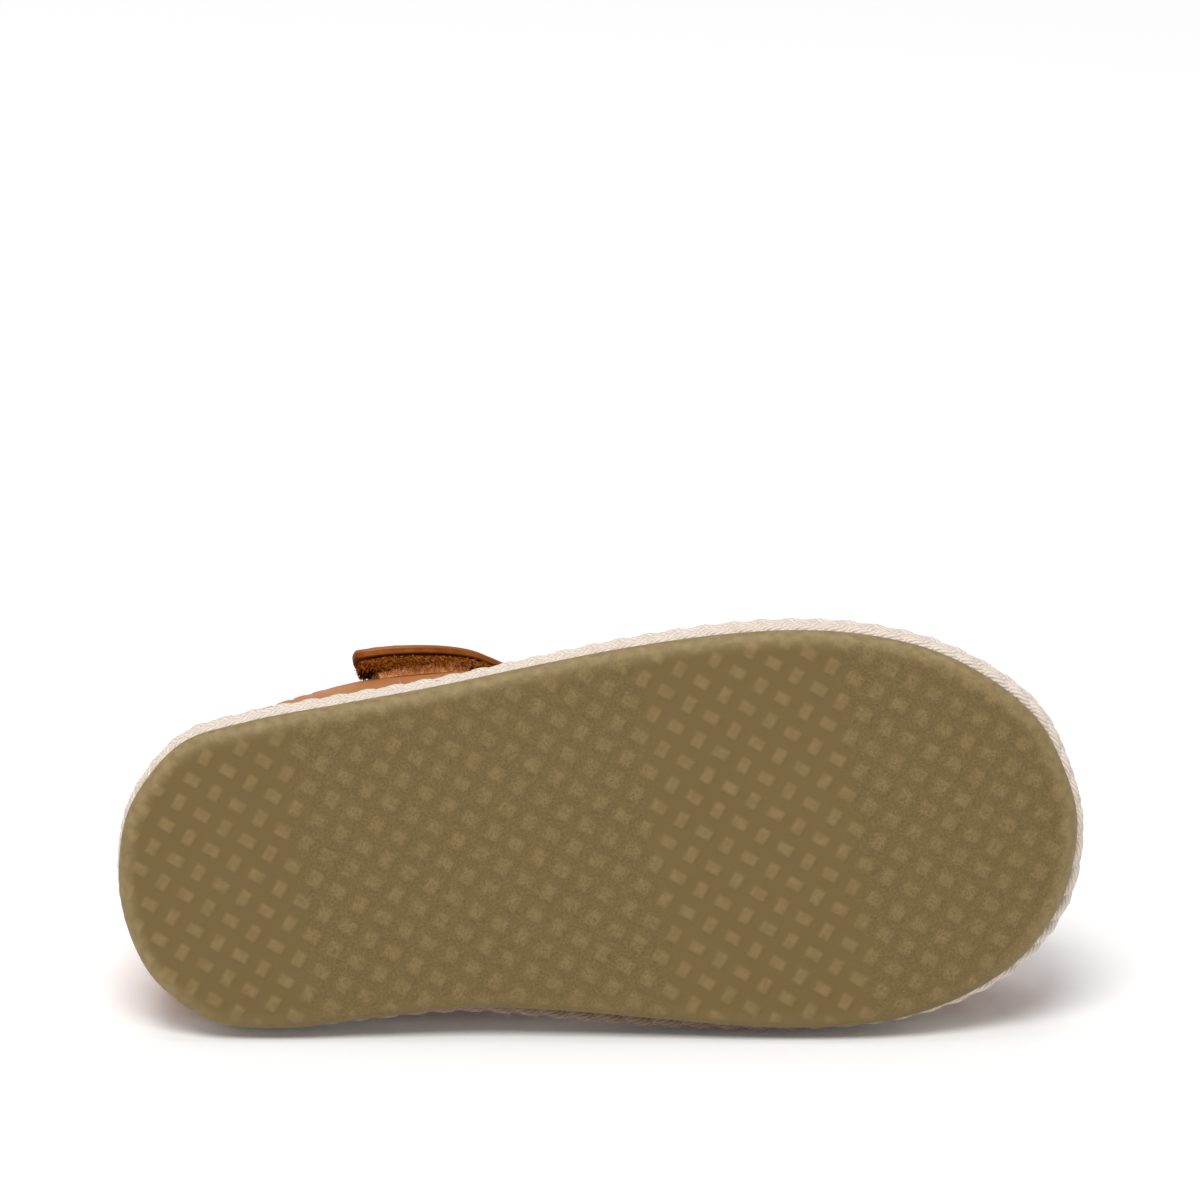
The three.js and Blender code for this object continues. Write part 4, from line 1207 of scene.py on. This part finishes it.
# Point on the insole's top: along a rung from the outer to the inner side.
def insoleTop(turn, share, inset):
    x0, y0 = edgePoint(turn, lastInset(turn) - shoe["gap"] - inset)
    x1, y1 = edgePoint(1 - turn, lastInset(1 - turn) - shoe["gap"] - inset)
    x, y = mix(x0, x1, share), mix(y0, y1, share)
    top = insoleRim + shoe["insole"]
    return np.stack([x, y, top + spring(x) - insoleHollow(x, share)], axis=-1)


def makeInsole():
    steps = insole["steps"]
    bend = np.linspace(0, np.pi / 2, 5)
    bevel = shoe["insoleBevel"]
    top = insoleRim + shoe["insole"]
    profile = [(0.4, insoleRim), (0, insoleRim + 0.3)]
    profile += [(bevel * (1 - np.cos(t)), top - bevel * (1 - np.sin(t))) for t in bend]
    rings = [edgeRing(steps, lambda turn, inset=inset: lastInset(turn) - shoe["gap"] - inset, z)
             for inset, z in profile]
    ringFaces, _ = gridFaces(len(profile), steps, closeColumns=True)
    turn, share = np.meshgrid(np.arange(steps // 2 + 1) / steps, np.linspace(0, 1, insole["across"]), indexing="ij")
    cover = insoleTop(turn, share, bevel).reshape(-1, 3)
    coverFaces, _ = gridFaces(steps // 2 + 1, insole["across"])
    under, tips = rungFaces(steps)
    points = np.concatenate([*rings, cover])

    def facing(faces, upwards):
        p = points[faces]
        area = np.cross(p[:, 1, :2] - p[:, 0, :2], p[:, -1, :2] - p[:, 0, :2]).sum()
        return faces if (area > 0) == upwards else faces[:, ::-1]
    side = enclosed(points[:steps * len(profile)] - [shoe["length"] / 2, 0, insoleRim], [ringFaces]) > 0
    faceSets = [ringFaces if side else ringFaces[:, ::-1], facing(coverFaces + len(profile) * steps, True),
                facing(under, False), facing(tips, False)]
    piece = makePiece("insole_leather", points, faceSets, [insoleLeather], weld=0.002)
    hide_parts("insole")

    def rim(turn, w, offset):
        # the seam's line round the insole, a set distance inside its edge
        x, y = edgePoint(turn, lastInset(turn) - shoe["gap"] - insole["seam"])
        return np.stack([x, y, top + spring(x) - 0.06 + offset + 0 * w], axis=-1)
    turn = np.linspace(0, 1, 2400)
    addSeam(rim, turn, turn, 0.0)


makeInsole()


# Tapes

tapes = dict(
    pileInset=0.15, pileHairs=3400, pileLength=(0.7, 1.85), pileWidth=0.075, pileCurl=0.34,
    hookFrom=0.03, hookLower=1.9, hookHairs=2600, hookLength=(0.4, 1.0), hookWidth=0.05, hookCurl=0.06,
    hookSunk=0.35, shortAtEnd=(0.35, 0.045),  # hairs at the free end: their share of the length, and its reach
    stations=7,
)
# Nylon loop pile, brushed up: dark brown and deep, with curled tips that catch the light.
pileBase = makeMaterial("knittedPileGround", {"Roughness": 0.9, "Specular IOR Level": 0.05},
                        plainLook("3A1A06", "522708", 1.2, 0.3, 0.1))
pileNylon = makeMaterial("brushedLoopPile", {"Roughness": 0.7, "Specular IOR Level": 0.04},
                         plainLook("4F2406", "C8752C", 0.45, 0.2, 0.02))
# Nylon hook tape, moulded: light tan bristles on a tan band.
hookNylon = makeMaterial("mouldedHookTape", {"Roughness": 0.6, "Specular IOR Level": 0.06},
                         plainLook("FFC78E", "DD9659", 1.5, 0.25, 0.04))


def pileSurface(u, w, offset):
    return besideRoute(tabSlant(u, w), (w - 0.5) * (strapWidth(u) - 2 * tapes["pileInset"]), offset)


def pileInner(u, w):
    return strapInner(u, w) - strap["pile"] - 0.25


def hookSurface(u, w, offset):
    return besideRoute(u, (w - 0.5) * strap["tapeWidth"] - tapes["hookLower"], offset)


# The hook tape lies on the quarter and follows its fullness.
def hookInner(u, w):
    way = catmullRom(np.array(strap["route"]), u)[..., 0]
    return shoe["leather"] + shoe["gap"] - tapes["hookSunk"] + 0.9 * readTable(upper["fullness"], 1, way) + 0 * w


def makeTape(name, surface, start, end, inner, thickness, material, node):
    part = sheetPart(lambda u, w, offset: surface(mix(start, end, u), w, offset),
                     lambda u, w: inner(mix(start, end, u), w),
                     lambda u, w: inner(mix(start, end, u), w) + thickness, 0.6, 0.8)
    piece = makeSheets(name, [part], [material] * 3)
    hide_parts(node)


# Hairs of a tape: rooted at random on its face, and on the side wall and the end wall that show,
# curled and lying over towards the strap's lower edge. depths is the wall's two heights above
# the base.
def makeTapeHairs(name, surface, count, start, end, base, depths, away, lengths, width, curl, seed, material):
    rng = np.random.default_rng(seed)
    onSide, onEnd = rng.random(count) < 0.42, rng.random(count) < 0.09
    u = np.where(onEnd, start, rng.uniform(start, end, count))
    w = np.where(onSide & ~onEnd, 0.0, rng.random(count) ** 1.5)
    offset = base(u, w) + np.where(onSide | onEnd, mix(*depths, rng.random(count)), depths[0])
    roots = surface(u, w, offset)
    normal = unit(surface(u, w, offset + 0.5) - roots) * away
    down = unit(surface(u, w - 0.05, offset) - roots)
    back = unit(surface(u - 0.01, w, offset) - roots)
    spill = np.where(onSide, rng.uniform(0.0, 0.9, count), rng.uniform(-0.35, 0.35, count))[:, None]
    lean = normal + down * spill + back * (rng.normal(0, 0.4, count) + 0.7 * onEnd)[:, None]
    shortShare, shortReach = tapes["shortAtEnd"]
    length = rng.uniform(*lengths, count) * mix(shortShare, 1, smoothstep(u - start, 0, shortReach))
    bends = rng.normal(0, 0.3, (count, 3)) * length[:, None]
    paths = fibrePaths(roots, unit(lean), length, bends, tapes["stations"])
    share = np.linspace(0, 1, tapes["stations"])[:, None]
    paths += rng.normal(0, curl, (count, 1, 3)) * np.sin(5 * share) * length[:, None, None] / lengths[1]
    taper = np.linspace(1, 0.45, tapes["stations"]) * width
    points, faceSets = fibreMesh(paths, np.broadcast_to(taper, paths.shape[:2]))
    piece = makePiece(name, points, faceSets, [material])


makeTape("pile_tape", pileSurface, 0.006, strap["pileEnd"], pileInner, strap["pile"] + 0.22, pileBase,
         "strap_pile_tape")
makeTape("hook_tape", hookSurface, tapes["hookFrom"], strap["tab"], hookInner, strap["tape"] + 0.2, hookNylon,
         "quarter_hook_tape")
makeTapeHairs("pile_loops", pileSurface, tapes["pileHairs"], 0.008, strap["pileEnd"] - 0.004, pileInner,
              (0.02, strap["pile"] - 0.1), -1, tapes["pileLength"], tapes["pileWidth"], tapes["pileCurl"], 5, pileNylon)
makeTapeHairs("hook_bristles", hookSurface, tapes["hookHairs"], tapes["hookFrom"] + 0.001, strap["tab"] - 0.002,
              hookInner, (strap["tape"] + 0.18, 0.1), 1, tapes["hookLength"], tapes["hookWidth"],
              tapes["hookCurl"], 7, hookNylon)


def makeStitches():
    paths = np.concatenate(seams)
    widths = np.broadcast_to(thread["width"] * np.array([0.55, 0.95, 1, 0.95, 0.55]), paths.shape[:2])
    points, faceSets = fibreMesh(paths, widths, thread["sides"])
    piece = makePiece("upper_stitching", pressed(points), faceSets, [sewingThread])


makeStitches()


# Camera and light

photo = dict(
    tilt=9.0,  # the tread faces the camera but for this angle, towards the outer side
    roll=5.5,  # the foot's axis rises to the right
    pixelsPerMm=6.496, pixels=1200,
    markSpot=(0, -0.94, 1.5), markPixel=(119.7, 893.5),  # heel tip
    distance=2000.0,
)


def makeCamera():
    tilt, roll = np.radians(photo["tilt"]), np.radians(photo["roll"])
    back = np.array([0, -np.sin(tilt), -np.cos(tilt)])
    level, rise = np.array([1.0, 0, 0]), np.array([0, -np.cos(tilt), np.sin(tilt)])
    right = np.cos(roll) * level - np.sin(roll) * rise
    up = np.sin(roll) * level + np.cos(roll) * rise
    middle = photo["pixels"] / 2
    toRight = (middle - photo["markPixel"][0]) / photo["pixelsPerMm"]
    toTop = (photo["markPixel"][1] - middle) / photo["pixelsPerMm"]
    target = np.array(photo["markSpot"]) + toRight * right + toTop * up
    data = bpy.data.cameras.new("camera")
    data.sensor_width = 36
    data.lens = data.sensor_width * photo["distance"] / (photo["pixels"] / photo["pixelsPerMm"])
    data.clip_start, data.clip_end = 0.1, 20
    camera = bpy.data.objects.new("camera", data)
    axes = np.stack([right, up, back]) @ shoeAxes
    place = toRow(target + photo["distance"] * back)
    camera.matrix_world = Matrix.Translation(place) @ Matrix(axes.T.tolist()).to_4x4()
    bpy.context.scene.collection.objects.link(camera)
    bpy.context.scene.camera = camera


# Lamp: name, place, aim, width, height in metres, watts.
lamps = [
    ("softbox", (-0.35, -1.5, 2.4), (0, 0, 0.03), 1.4, 1.3, 57.0),
    ("overhead", (-0.1, 0.6, 2.4), (0, 0, 0.03), 2.0, 1.8, 20.0),
]
studio = dict(world=0.27, floorSize=12.0, floorWhite="FFFFFF", floorGlow=0.04)


def makeStudio():
    scene = bpy.context.scene
    scene.view_settings.view_transform = "Standard"
    world = bpy.data.worlds.new("studio")
    world.use_nodes = True
    world.node_tree.nodes["Background"].inputs["Color"].default_value = (1, 1, 1, 1)
    world.node_tree.nodes["Background"].inputs["Strength"].default_value = studio["world"]
    scene.world = world
    for name, place, aim, width, height, watts in lamps:
        light = bpy.data.lights.new(name, "AREA")
        light.shape, light.size, light.size_y, light.energy = "RECTANGLE", width, height, watts
        lamp = bpy.data.objects.new(name, light)
        lamp.location = place
        lamp.rotation_euler = (Vector(aim) - Vector(place)).to_track_quat("-Z", "Y").to_euler()
        scene.collection.objects.link(lamp)
    half = studio["floorSize"] / 2
    mesh = bpy.data.meshes.new("floor")
    mesh.from_pydata([(-half, -half, 0), (half, -half, 0), (half, half, 0), (-half, half, 0)], [], [(0, 1, 2, 3)])
    floor = bpy.data.objects.new("floor", mesh)
    white = colour(studio["floorWhite"])
    paint = {"Base Color": white, "Roughness": 0.9, "Specular IOR Level": 0.0,
             "Emission Color": white, "Emission Strength": studio["floorGlow"]}
    mesh.materials.append(makeMaterial("paintedFloor", paint, lambda tree: {}))
    scene.collection.objects.link(floor)


makeCamera()
makeStudio()
print("camera and studio made")
